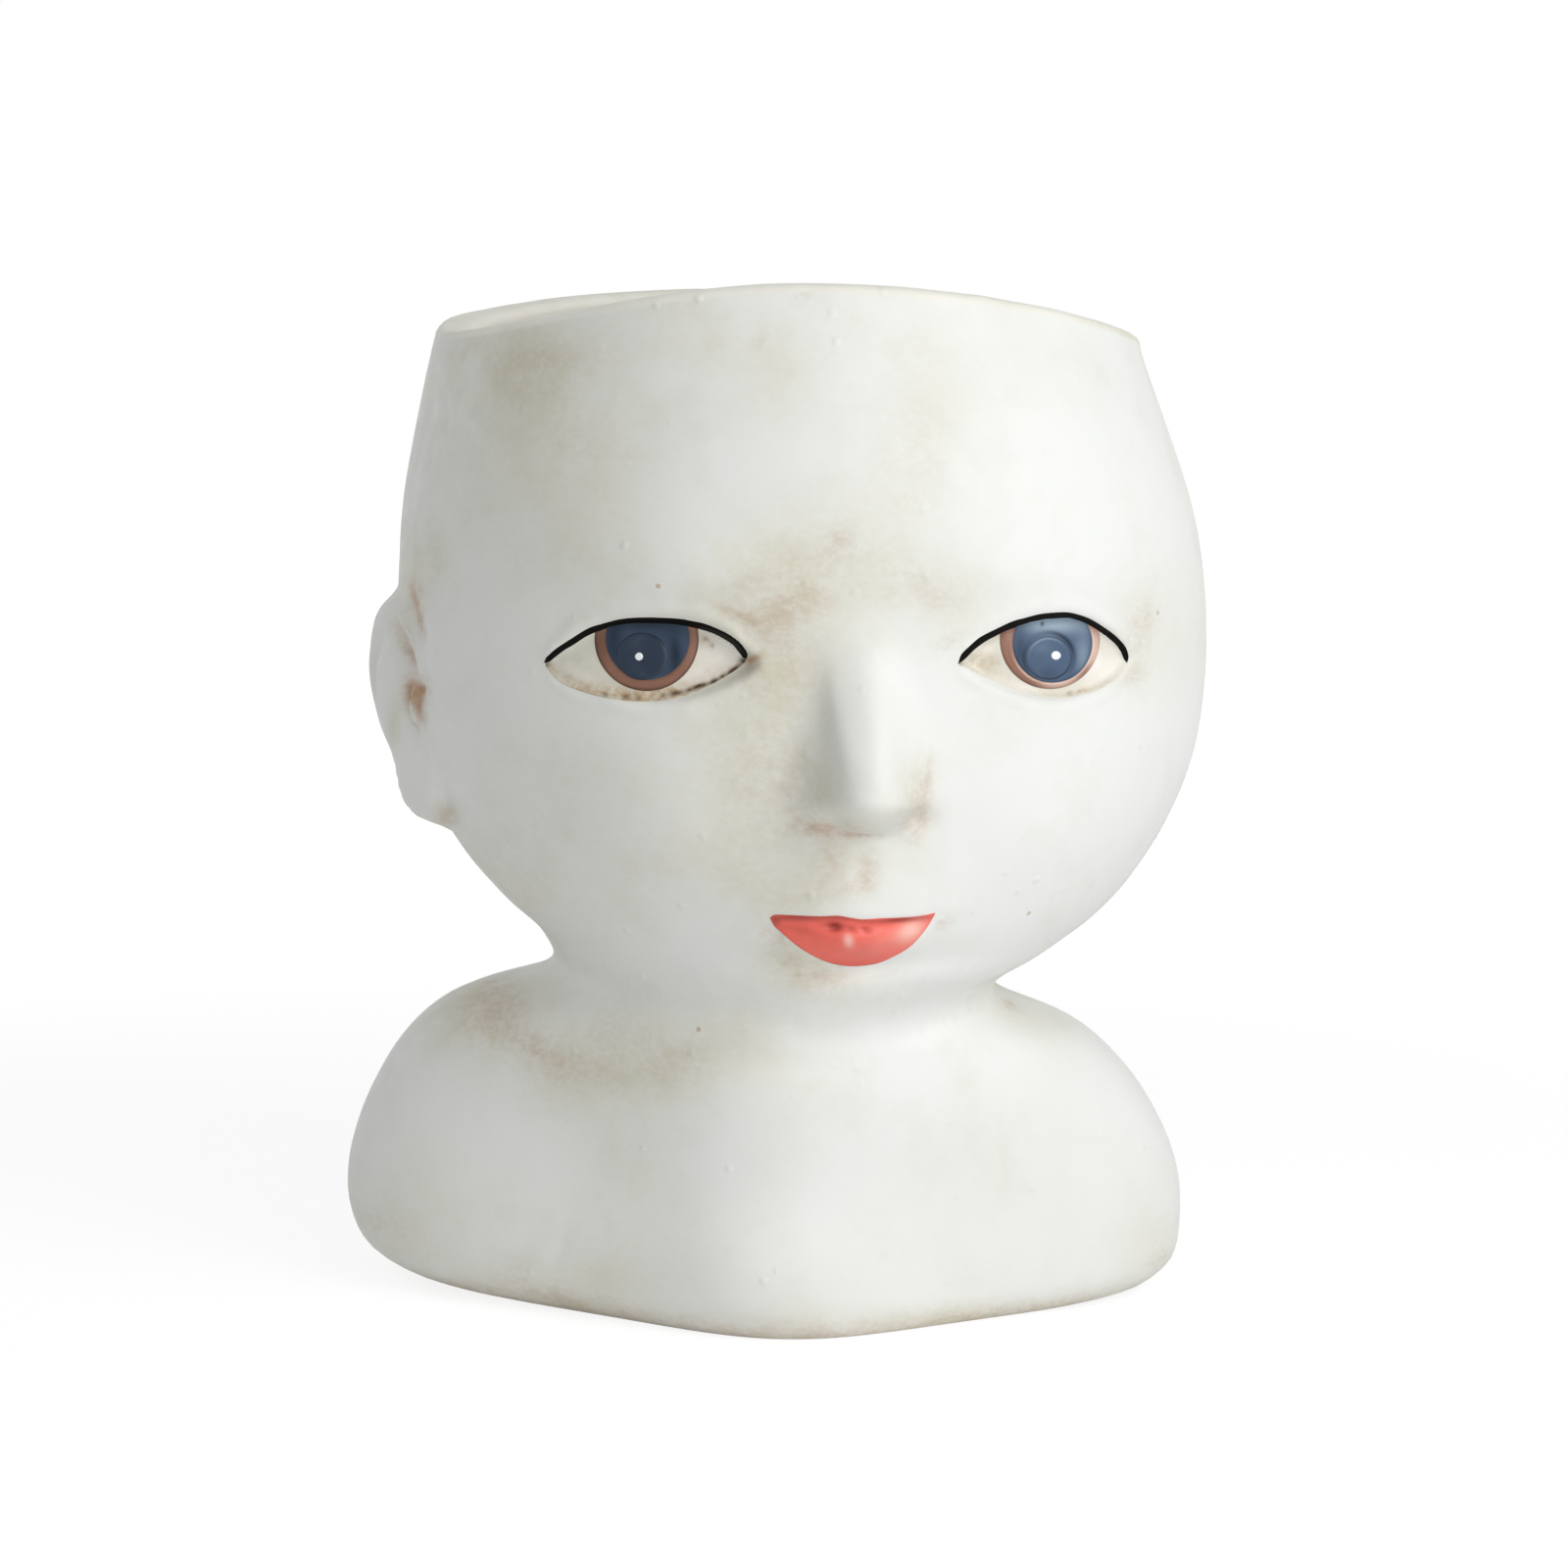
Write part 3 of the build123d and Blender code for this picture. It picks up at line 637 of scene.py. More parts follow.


# Places where brown wash was left, some of them painted shade beside the nose, in the eye sockets and under
# the chin: across, down, half width, half height, turn and strength
BROWN_WASH_AND_SHADE = [
    (768, 672, 9, 5, -20, 0.9), (726, 655, 6, 7, 40, 0.3), (785, 640, 30, 22, -12, 0.36),
    (815, 612, 42, 16, -8, 0.34), (752, 628, 26, 6, 20, 0.45), (775, 690, 30, 18, 10, 0.22),
    (770, 595, 30, 10, -14, 0.2), (840, 570, 34, 14, -10, 0.22), (930, 596, 30, 16, 14, 0.14),
    (818, 690, 22, 36, 0, 0.15), (560, 366, 50, 14, -6, 0.2), (600, 440, 46, 26, 10, 0.08),
    (930, 460, 44, 60, 0, 0.05), (720, 327, 14, 3, 5, 0.45), (818, 299, 12, 3, 0, 0.4),
    (480, 352, 26, 8, -10, 0.2), (776, 348, 7, 3, 0, 0.4), (690, 330, 20, 4, 0, 0.2),
    (828, 843, 18, 8, 8, 0.45), (880, 852, 24, 3.5, 2, 0.4), (850, 848, 30, 9, 0, 0.4),
    (935, 838, 18, 12, -30, 0.35), (936, 806, 12, 28, 0, 0.16), (946, 800, 6, 26, 8, 0.32),
    (878, 880, 20, 22, 0, 0.15), (846, 878, 12, 24, 0, 0.3), (884, 893, 10, 14, 0, 0.35),
    (934, 857, 7, 7, 20, 0.25), (868, 905, 22, 8, 0, 0.2), (805, 800, 16, 45, 5, 0.2),
    (770, 800, 34, 50, 0, 0.12), (858, 548, 12, 9, 0, 0.35), (960, 610, 20, 12, -20, 0.2),
    (1165, 640, 14, 26, 20, 0.3), (1155, 690, 18, 10, -30, 0.25), (968, 655, 18, 9, -30, 0.2),
    (805, 980, 18, 10, 32, 0.42), (796, 958, 12, 10, 0, 0.25), (846, 1000, 24, 6, 6, 0.35),
    (962, 944, 9, 6, -30, 0.25), (782, 948, 7, 7, 40, 0.2), (905, 992, 20, 6, -14, 0.15),
    (440, 575, 14, 20, 0, 0.18), (520, 860, 26, 36, 30, 0.08), (506, 1018, 30, 26, 10, 0.42),
    (490, 1045, 24, 22, 0, 0.16), (560, 1080, 36, 15, 30, 0.3), (535, 1062, 32, 22, 20, 0.2),
    (690, 1075, 46, 16, 24, 0.16), (620, 1050, 26, 30, 0, 0.1), (1030, 1025, 9, 6, 20, 0.5),
    (600, 1090, 36, 14, 10, 0.15), (690, 1095, 30, 14, 10, 0.12), (424, 613, 4, 18, -16, 0.6),
    (430, 637, 4, 18, -10, 0.5), (427, 604, 9, 12, -20, 0.3), (411, 650, 8, 25, -24, 0.45),
    (420, 668, 4, 10, -22, 0.5), (423, 704, 12, 14, 0, 1.1), (427, 722, 6, 18, -14, 0.9),
    (431.5, 702.7, 3, 3, 0, 1), (455, 829, 11, 10, 0, 0.4), (455, 838, 12, 3, 0, 0.35),
    (460, 940, 30, 30, 40, 0.12), (540, 915, 20, 26, 40, 0.12), (390, 1255, 40, 14, 25, 0.22),
    (560, 1320, 60, 9, 14, 0.2), (530, 1300, 20, 16, -40, 0.15), (1190, 1285, 20, 10, -20, 0.25),
    (820, 1010, 30, 8, 10, 0.14), (850, 993, 26, 4, 0, 0.2),
]

# Broad patches where the olive wash shows through, some of them painted shade on the nose's left side,
# beside the nose bridge and under the chin: across, down, half width, half height, strength
OLIVE_WASH_AND_SHADE = [
    (545, 375, 70, 40, 0.85), (560, 332, 60, 18, 0.4), (700, 312, 70, 14, 0.4), (620, 445, 80, 54, 0.7),
    (500, 450, 60, 80, 0.4), (800, 400, 60, 50, 0.4), (935, 450, 50, 80, 0.45), (850, 545, 110, 50, 0.55),
    (790, 632, 90, 60, 0.85), (775, 765, 66, 86, 0.66), (800, 700, 24, 36, 0.3), (835, 800, 26, 50, 0.6),
    (870, 872, 60, 40, 0.45), (600, 540, 80, 60, 0.4), (430, 575, 30, 40, 0.6), (425, 612, 12, 28, 0.6),
    (409, 655, 12, 28, 0.6), (420, 712, 14, 24, 0.5), (402, 740, 8, 26, 0.6), (455, 828, 16, 12, 0.5),
    (520, 880, 60, 60, 0.35), (640, 820, 90, 60, 0.25), (570, 630, 80, 110, 0.28),
    (802, 858, 24, 40, 0.35), (975, 632, 34, 30, 0.3), (1000, 598, 30, 24, 0.15),
    (838, 918, 40, 13, 0.25), (488, 1030, 56, 44, 0.7), (600, 1080, 110, 50, 0.7),
    (730, 1070, 90, 40, 0.5), (640, 1170, 60, 90, 0.4), (790, 1170, 34, 70, 0.2),
    (690, 1270, 60, 50, 0.35), (430, 1230, 90, 60, 0.45), (570, 1310, 130, 34, 0.5),
    (900, 1345, 180, 12, 0.35), (830, 992, 60, 24, 0.5), (660, 1000, 60, 24, 0.1),
    (760, 1040, 60, 24, 0.25), (936, 815, 20, 46, 0.8), (1175, 645, 40, 60, 0.5),
    (950, 600, 60, 40, 0.45), (1190, 1270, 40, 30, 0.3), (1090, 1035, 80, 26, 0.2),
    (985, 1120, 24, 50, 0.15), (720, 348, 150, 34, 0.35), (800, 570, 80, 40, 0.3),
    (610, 940, 80, 40, 0.2), (990, 380, 50, 40, 0.15), (800, 905, 44, 34, 0.75), (745, 890, 50, 44, 0.5),
    (660, 885, 60, 40, 0.35), (800, 985, 36, 26, 0.6),
]

# How far across and down from its middle a smear is looked for
SMEAR_REACH = (90, 70)


def wash_of(vert, rows, outer_rows, axes, hollow):
    """Brown, olive and crease shares of the wash at a vertex, the brown and olive ones partly painted
    shade, and 1 past the outer skin.
    """
    low = ease(7 * MM, 0, vert.co.z)
    brown, olive = 0.35 * low, 0.5 * low
    inside = float(rows > outer_rows)
    facing = (axes[0] - vert.co).normalized().dot(vert.normal)
    front = (1 - inside) * ease(0, 0.15, facing)
    if front:
        x, y = picture_place(vert.co, axes)
        for *smear, strength in BROWN_WASH_AND_SHADE:
            if abs(x - smear[0]) < SMEAR_REACH[0] and abs(y - smear[1]) < SMEAR_REACH[1]:
                brown += front * strength * hill(x, y, *smear)
        for *patch, strength in OLIVE_WASH_AND_SHADE:
            olive += front * strength * hill(x, y, *patch)
    rest = 1 - front
    olive += rest * 0.7 * ease(0.0, 0.6, noise.noise(vert.co * 17))
    brown += rest * 0.2 * ease(0.2, 0.8, noise.noise(vert.co * 20 + Vector((3, 1, 7))))
    return min(brown, 1), min(olive, 1), min(max(hollow, 0), 1), inside


def store_wash(shape, axes, outer_rows):
    """Keeps the wash's shares in the mesh for its material."""
    row_of = shape.verts.layers.int["row"]
    shares = shape.verts.layers.float_color.new("wash")
    shape.normal_update()
    hollows = {}
    for vert in shape.verts:
        around = [edge.other_vert(vert).co for edge in vert.link_edges]
        middle = sum(around, Vector()) / len(around)
        reach = sum((place - vert.co).length for place in around) / len(around)
        hollows[vert] = (middle - vert.co).dot(vert.normal) / max(reach, 1e-6)
    for _ in range(3):
        hollows = {vert: 0.4 * own + 0.6 * sum(hollows[edge.other_vert(vert)] for edge in vert.link_edges)
                   / len(vert.link_edges) for vert, own in hollows.items()}
    for vert in shape.verts:
        vert[shares] = wash_of(vert, vert[row_of], outer_rows, axes, hollows[vert] * 9)


# Pieces and materials

def new_piece(name, shape, material, body, nodes):
    """Makes a finished shape a piece that rides on a body and stands for its CAD nodes."""
    mesh = bpy.data.meshes.new(name)
    shape.to_mesh(mesh)
    shape.free()
    for face in mesh.polygons:
        face.use_smooth = True
    piece = bpy.data.objects.new(name, mesh)
    bpy.context.scene.collection.objects.link(piece)
    piece.data.materials.append(material)
    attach(piece, body)
    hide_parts(*nodes)
    return piece


class Nodes:
    """Builds the nodes of a material or a world with short calls."""

    def __init__(self, owner):
        owner.use_nodes = True
        self.owner = owner
        self.tree = owner.node_tree

    def add(self, kind, inputs=None, **settings):
        node = self.tree.nodes.new(kind)
        for key, value in settings.items():
            setattr(node, key, value)
        for key, value in (inputs or {}).items():
            self.feed(node, key, value)
        return node

    def feed(self, node, key, value):
        self.set(node.inputs[key], value)

    def set(self, socket, value):
        if isinstance(value, bpy.types.NodeSocket):
            self.tree.links.new(value, socket)
        else:
            socket.default_value = value

    def place(self):
        return self.add("ShaderNodeTexCoord").outputs["Object"]

    def noise(self, scale, detail, roughness, vector=None):
        node = self.add("ShaderNodeTexNoise", {"Scale": scale, "Detail": detail, "Roughness": roughness,
                                               "Vector": vector or self.place()})
        return node.outputs["Fac"]

    def band(self, value, low, high, start=0.0, end=1.0):
        """Maps a value between two limits to a share."""
        limits = {"Value": value, "From Min": low, "From Max": high, "To Min": start, "To Max": end}
        node = self.add("ShaderNodeMapRange", limits, interpolation_type="SMOOTHSTEP")
        return node.outputs["Result"]

    def sum(self, operation, first, second):
        node = self.add("ShaderNodeMath", {0: first, 1: second}, operation=operation)
        node.use_clamp = operation in ("ADD", "MULTIPLY")
        return node.outputs["Value"]

    def mix(self, share, first, second):
        node = self.add("ShaderNodeMix", data_type="RGBA")
        self.feed(node, "Factor", share)
        colours = [socket for socket in node.inputs if socket.type == "RGBA"]
        for socket, value in zip(colours, (first, second)):
            self.set(socket, value if isinstance(value, bpy.types.NodeSocket) else (*value, 1))
        return [socket for socket in node.outputs if socket.type == "RGBA"][0]

    def lone_spots(self, scale, low, high, least):
        """Soft spots in the few cells whose random number is over the least."""
        cells = self.add("ShaderNodeTexVoronoi", {"Vector": self.place(), "Scale": scale}).outputs
        number = self.add("ShaderNodeTexWhiteNoise", {"Vector": cells["Position"]}, noise_dimensions="3D")
        return self.sum("MULTIPLY", self.band(cells["Distance"], low, high, 1.0, 0.0),
                        self.sum("GREATER_THAN", number.outputs["Value"], least))

    def bump(self, height, strength, distance, before=None):
        node = self.add("ShaderNodeBump", {"Height": height, "Strength": strength, "Distance": distance})
        if before is not None:
            self.feed(node, "Normal", before)
        return node.outputs["Normal"]

    def seen(self):
        """1 for rays that the camera sends, straight or through gloss and glass, and 0 for light."""
        rays = self.add("ShaderNodeLightPath").outputs
        return self.sum("MAXIMUM", rays["Is Camera Ray"],
                        self.sum("MAXIMUM", rays["Is Glossy Ray"], rays["Is Transmission Ray"]))

    def blend(self, share, first, second, output):
        """Sends a mix of two shaders to an output."""
        mixed = self.add("ShaderNodeMixShader", {"Fac": share, 1: first.outputs[0], 2: second.outputs[0]})
        self.add(output, {"Surface": mixed.outputs[0]})

    def paint(self, sockets):
        for key, value in sockets.items():
            self.feed(self.tree.nodes["Principled BSDF"], key, value)
        return self.owner


def new_material(name):
    return Nodes(bpy.data.materials.new(name))



def whitewash_material():
    """Matte whitewash over cast stone, antiqued with olive and brown wash, whose shares also carry some
    painted shade.
    """
    finish = finish_of()
    m = new_material("antiqued whitewash")
    wash = m.add("ShaderNodeAttribute", attribute_name="wash", attribute_type="GEOMETRY")
    shares = m.add("ShaderNodeSeparateColor", {"Color": wash.outputs["Color"]})
    brown, olive, crease = (shares.outputs[i] for i in range(3))
    cloud = m.noise(14, 2, 0.45)
    blotch = m.noise(55, 3, 0.5)
    grain = m.noise(170, 5, 0.62)
    streak_place = m.add("ShaderNodeMapping", {"Vector": m.place(), "Scale": (1.0, 1.0, 1.4),
                                               "Rotation": (0.0, -0.35, 0.0)}).outputs["Vector"]
    streak = m.noise(110, 3, 0.55, vector=streak_place)
    dry = m.noise(480, 5, 0.7, vector=streak_place)
    coat = m.mix(m.sum("MULTIPLY", wash.outputs["Alpha"], m.band(blotch, 0.2, 0.6, 0.6, 1.0)),
                 finish.whitewash, finish.inside_wash)
    patchy = m.sum("ADD", m.sum("MULTIPLY", blotch, 0.6), m.sum("MULTIPLY", dry, 0.4))
    mottled = m.sum("ADD", m.band(cloud, 0.48, 0.72, 0.0, 0.2),
                    m.band(m.noise(70, 4, 0.6), 0.46, 0.72, 0.0, 0.17))
    # The olive and brown shares hold real wash and some painted shade
    olive_share = m.sum("MULTIPLY", m.sum("ADD", olive, mottled), m.band(patchy, 0.32, 0.68, 0.45, 1.0))
    base = m.mix(olive_share, coat, finish.olive_wash)
    brushed = m.sum("ADD", m.sum("MULTIPLY", streak, 0.45), m.sum("MULTIPLY", dry, 0.55))
    brown_all = m.sum("ADD", brown, m.band(crease, 0.45, 1.0, 0.0, 0.15))
    kept = m.sum("ADD", m.sum("MULTIPLY", brown_all, 0.7), 0.12)
    thin = m.sum("MULTIPLY", m.sum("SUBTRACT", 1.0, kept), m.band(brushed, 0.40, 0.62))
    base = m.mix(m.sum("MULTIPLY", brown_all, m.sum("ADD", kept, thin)), base, finish.brown_wash)
    dot = m.lone_spots(130.0, 0.05, 0.10, 0.985)
    base = m.mix(m.sum("MULTIPLY", dot, 0.6), base, finish.brown_wash)
    pimple = m.lone_spots(210.0, 0.0, 0.32, 0.9)
    normal = m.bump(blotch, 0.4, 0.001)
    normal = m.bump(streak, 0.12, 0.0005, normal)
    normal = m.bump(grain, 0.12, 0.0004, normal)
    normal = m.bump(pimple, 0.5, 0.0004, normal)
    return m.paint({"Base Color": base, "Roughness": m.band(grain, 0.3, 0.7, 0.55, 0.75), "Normal": normal})


def coat_material(name, tint, roughness, gloss, tones=()):
    """Hand-brushed paint, with the colours of the tones whose shares its mesh keeps: dark lines and painted
    shade, painted light and highlights, and stain.
    """
    m = new_material(name)
    brush = m.noise(190, 3, 0.5)
    base = m.mix(m.band(brush, 0.35, 0.7, 0.0, 0.5), tint, tuple(0.82 * c for c in tint))
    if tones:
        kept = m.add("ShaderNodeAttribute", attribute_name="tone", attribute_type="GEOMETRY")
        shares = m.add("ShaderNodeSeparateColor", {"Color": kept.outputs["Color"]}).outputs
        speckle = m.band(m.noise(700, 3, 0.6), 0.36, 0.62, 0.35, 1.0)
        if len(tones) > 2:
            base = m.mix(m.sum("MULTIPLY", shares[2], speckle), base, tones[2])
        base = m.mix(shares[1], base, tones[1])
        base = m.mix(shares[0], base, tones[0])
    normal = m.bump(m.noise(380, 3, 0.5), 0.15, 0.0003)
    return m.paint({"Base Color": base, "Roughness": roughness, "Normal": normal,
                    "Specular IOR Level": gloss})


# Painted pieces laid on the casting

class Skin:
    """The finished casting, for laying paint on by places of the photograph."""

    def __init__(self, piece):
        self.axes = sight_axes()
        mesh = piece.data
        places = [vert.co.copy() for vert in mesh.vertices]
        faces = [tuple(face.vertices) for face in mesh.polygons]
        self.shell = BVHTree.FromPolygons(places, faces), places, faces, [
            [mesh.vertices[i].normal.copy() for i in face] for face in faces]

    def lay(self, x, y, rise):
        """The point over a place of the photograph."""
        tree, places, faces, normals = self.shell
        hit, _, index, _ = tree.ray_cast(*sight_line(x, y, self.axes))
        corners = [places[i] for i in faces[index]]
        shares = poly_3d_calc(corners, hit)
        out = sum((normal * share for normal, share in zip(normals[index], shares)), Vector()).normalized()
        return hit + out * rise


def grid_patch(skin, across, up, place):
    """A grid, faced to the camera, whose vertices are put where a function of its two shares says."""
    shape = bmesh.new()
    shape.loops.layers.uv.new("patch")
    bmesh.ops.create_grid(shape, x_segments=across, y_segments=up, size=0.5, calc_uvs=True)
    for vert in shape.verts:
        vert.co = place(min(max(vert.co.x + 0.5, 0), 1), min(max(vert.co.y + 0.5, 0), 1))
    bmesh.ops.remove_doubles(shape, verts=shape.verts, dist=0.004 * MM)
    bmesh.ops.dissolve_degenerate(shape, dist=0.002 * MM, edges=shape.edges)
    shape.normal_update()
    facing = sum(face.normal.dot(skin.axes[3]) * face.calc_area() for face in shape.faces)
    if facing > 0:
        bmesh.ops.reverse_faces(shape, faces=shape.faces)
    return shape


def tone_of(name, x, y):
    """A painted piece's shares of dark paint and painted shade, painted light and stain at a place of the
    photograph.
    """
    shares = dict.fromkeys(TONES, 0.0)
    for tone, spots in PAINT_SPOTS.get(name, {}).items():
        for *spot, strength in spots:
            shares[tone] += strength * hill(x, y, *spot)
    for tone, x_middle, y_middle, radius, squash, width, middle, half, strength in PAINT_ARCS.get(name, ()):
        dx, dy = x - x_middle, (y - y_middle) / squash
        turned = (math.degrees(math.atan2(dy, dx)) - middle + 180) % 360 - 180
        beside = math.hypot(dx, dy) - radius
        shares[tone] += strength * math.exp(-(beside / width) ** 2 - (turned / half) ** 2)
    return [min(share, 1) for share in shares.values()]


def store_tones(shape, axes, name):
    """Keeps the shares of a painted piece's tones, painted shade and painted light among them, in its mesh
    for its material.
    """
    shares = shape.verts.layers.float_color.new("tone")
    for vert in shape.verts:
        vert[shares] = (*tone_of(name, *picture_place(vert.co, axes)), 1)


def add_coat(piece):
    """Gives a patch of paint its thickness, inwards from what shows."""
    thickness = piece.modifiers.new("coat", "SOLIDIFY")
    thickness.thickness = sizes().coat
    thickness.offset = -1


def between(start, end, share):
    """A place from a start to an end, closer set towards both."""
    return start + (end - start) * (0.5 - 0.5 * math.cos(math.pi * share))


def lens_patch(skin, start, end, top, bottom, rise, across=96, up=16):
    """A patch between two lines of the photograph that meet at its ends."""
    def place(u, v):
        x = between(start, end, u)
        low, high = bottom(x), top(x)
        y = low + (min(high, low) - low) * v
        return skin.lay(x, y, rise)

    return grid_patch(skin, across, up, place)


def disc_patch(skin, x_middle, y_middle, rings, around=72):
    """A round patch from rings of pixel radius and rise, the first one its middle."""
    def place(u, v):
        i = round(v * (len(rings) - 1))
        radius, rise = rings[i]
        angle = 2 * math.pi * u
        height = radius * DISC_HEIGHT_SHARE
        return skin.lay(x_middle + radius * math.cos(angle), y_middle + height * math.sin(angle), rise)

    return grid_patch(skin, around, len(rings) - 1, place)


# Each eye's ring, iris, pupil and highlight: place across and down, radius
EYE_DISCS = {
    "right": ((660, 652, 53), (661, 651, 42.5), (655.5, 669.5, 26), (652.5, 669.5, 4.7)),
    "left": ((1071, 652, 51), (1073.5, 656, 40.5), (1069.8, 671.5, 23.8), (1075.5, 668.5, 5)),
}

# The pupil disc's rounded edge: pixels in from its radius and share of its rise
PUPIL_EDGE = [(6.5, 0.95), (5, 0.92), (3.8, 0.88), (2.7, 0.82), (1.7, 0.72), (0.9, 0.56), (0.3, 0.35)]


class Eye:
    """One eye's painted outlines in the photograph."""

    def __init__(self, side):
        self.side = side
        self.lash, self.lower = EYES[side]
        self.ring, self.iris, self.pupil, self.dot = EYE_DISCS[side]

    def under_lid(self, circle):
        """The top and bottom lines of a circle that the upper lid cuts."""
        x_middle, y_middle, radius = circle

        def half(x):
            return math.sqrt(max(radius ** 2 - (x - x_middle) ** 2, 0))

        def top(x):
            return max(y_middle - half(x), along(self.lash, x) + 1)

        def bottom(x):
            return max(y_middle + half(x), along(self.lash, x) + 1)

        return x_middle - radius, x_middle + radius, top, bottom


def make_eye(skin, side):
    """Lays the painted pieces of one eye."""
    eye = Eye(side)
    finish = finish_of()
    paint, rise = sizes().paint, sizes().pupil_rise
    blues = (finish.blue_painted_shade, finish.blue_painted_light)

    def keep(name, shape, coat, tint, roughness, gloss, tones=()):
        node = name + "_" + side
        store_tones(shape, skin.axes, node)
        material = coat_material(coat + " " + side, tint, roughness, gloss, tones)
        add_coat(new_piece(node + "_paint", shape, material, "planter", [node]))

    # The eye white gets brown flecks, painted light on its lit side and tan stain along the lids
    ball = lens_patch(skin, eye.lash[0][0] + 1, eye.lash[-1][0] - 1, lambda x: along(eye.lash, x),
                      lambda x: along(eye.lower, x) + 1.5, paint, 170, 34)
    keep("eyeball", ball, "eye white", finish.eye_white, 0.5, 0.3,
         (finish.fleck_brown, finish.eye_painted_light, finish.eye_stain))
    # The ring gets dark edge lines, painted shade on its shaded side and painted light on its lit side
    ring = lens_patch(skin, *eye.under_lid(eye.ring), 2 * paint, 110, 40)
    keep("iris_ring", ring, "ring brown", finish.ring_brown, 0.45, 0.2,
         (finish.ring_lines_and_shade, finish.ring_painted_light))
    # The iris and pupil get painted shade, all over the shaded eye and under the lid, and painted
    # highlights
    iris = lens_patch(skin, *eye.under_lid(eye.iris), 3 * paint, 100, 40)
    keep("iris", iris, "iris blue", finish.iris_blue, 0.4, 0.15, blues)
    x, y, radius = eye.pupil
    rings = [(0, rise), (radius * 0.35, rise), (radius * 0.65, rise * 0.98)]
    rings += [(radius - back, rise * share) for back, share in PUPIL_EDGE]
    rings += [(radius, 3 * paint), (radius + 0.8, 0)]
    keep("pupil", disc_patch(skin, x, y, rings), "pupil blue",
         finish.pupil_blue, 0.35, 0.2, blues)
    x, y, radius = eye.dot
    rings = [(0, rise + 1.6 * paint), (radius * 0.6, rise + 1.5 * paint),
             (radius * 0.9, rise + 1.1 * paint), (radius, rise - paint)]
    keep("eye_highlight", disc_patch(skin, x, y, rings, 32), "dot white",
         finish.dot_white, 0.3, 0.5)
    keep("lash_line", lash_patch(skin, eye), "lash black", finish.lash_black, 0.6, 0.05)


def lash_patch(skin, eye):
    """A brush line along the upper lid, thick in its middle and pointed at its ends."""
    line = eye.lash
    start, end = line[0][0], line[-1][0]
    outer_is_start = eye.side == "right"
    rise = sizes().lash_rise

    def place(u, v):
        x = between(start, end, u)
        ends = min(ease(0, 0.10, u) if outer_is_start else ease(0, 0.14, u), ease(1, 0.93, u))
        waver = noise.noise(Vector((u * 14, 3, 0 if outer_is_start else 8)))
        width = 3.3 * max(ends, 0.12) * (1 + 0.16 * waver)
        slope = (along(line, x + 1) - along(line, x - 1)) / 2
        lean = math.hypot(1, slope)
        offset = (v - 0.5) * 2 * width
        dome = 1 - (2 * v - 1) ** 4
        return skin.lay(x + offset * slope / lean, along(line, x) - offset / lean, rise * dome + 0.02 * MM)

    return grid_patch(skin, 140, 6, place)


def rim_shape(profiles):
    """The closed mesh through every column's places."""
    across, up = len(profiles) - 1, len(profiles[0]) - 1
    shape = bmesh.new()
    row_of = shape.verts.layers.int.new("row")
    bmesh.ops.create_grid(shape, x_segments=across, y_segments=up, size=0.5)
    for vert in shape.verts:
        column, row = round((vert.co.x + 0.5) * across), round((vert.co.y + 0.5) * up)
        vert.co = profiles[column][row]
        vert[row_of] = row
    bmesh.ops.remove_doubles(shape, verts=shape.verts, dist=0.002 * MM)
    bmesh.ops.recalc_face_normals(shape, faces=shape.faces)
    return shape


def on_ear(place):
    """Whether a place of the outer skin lies on an ear."""
    azimuth = math.degrees(math.atan2(place.x, -place.y))
    return 108 * MM < place.z < 170 * MM and (-99 < azimuth < -55 or 84 < azimuth < 126)


class PLANTER_OT_casting(bpy.types.Operator):
    """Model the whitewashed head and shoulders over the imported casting"""

    bl_idname = "planter.casting"
    bl_label = "Head and shoulders"

    def execute(self, context):
        casting = Casting()
        profiles = [casting.profile(azimuth) for azimuth in COLUMNS[:-1]]
        profiles.append([place.copy() for place in profiles[0]])
        shape = rim_shape(profiles)
        outer_rows = len(OUTER_ROWS) + CROWN_ROWS - 1
        row_of = shape.verts.layers.int["row"]
        axes = sight_axes()
        soft = [vert for vert in shape.verts if 3 < vert[row_of] < outer_rows - 1]
        plain = [vert for vert in soft if not on_ear(vert.co)]
        for chosen in (soft, soft, plain, plain):
            smooth(shape, chosen)
        soften_throat(shape, axes, outer_rows)
        sculpt(shape, axes, outer_rows)
        store_wash(shape, axes, outer_rows)
        new_piece("head_and_shoulders", shape, whitewash_material(), "planter", ["head_casting"])
        return {"FINISHED"}


class PLANTER_OT_eyes(bpy.types.Operator):
    """Paint both eyes on the casting"""

    bl_idname = "planter.eyes"
    bl_label = "Painted eyes"

    def execute(self, context):
        skin = Skin(bpy.data.objects["head_and_shoulders"])
        for side in EYES:
            make_eye(skin, side)
        return {"FINISHED"}


class PLANTER_OT_lips(bpy.types.Operator):
    """Paint the lips on the casting"""

    bl_idname = "planter.lips"
    bl_label = "Painted lips"

    def execute(self, context):
        skin = Skin(bpy.data.objects["head_and_shoulders"])
        shape = lens_patch(skin, UPPER_LIP[0][0], UPPER_LIP[-1][0], lambda x: along(UPPER_LIP, x),
                           lambda x: along(LOWER_LIP, x), 2 * sizes().paint, 130, 36)
        store_tones(shape, skin.axes, "lips")
        finish = finish_of()
        # The lips get dark lines and painted shade in the parting and dimples, and a painted highlight and
        # painted light on the lower lip
        coral = coat_material("lip coral", finish.lip_coral, 0.38, 0.45,
                              (finish.lip_lines_and_shade, finish.lip_painted_light))
        add_coat(new_piece("lip_paint", shape, coral, "planter", ["lips"]))
        return {"FINISHED"}


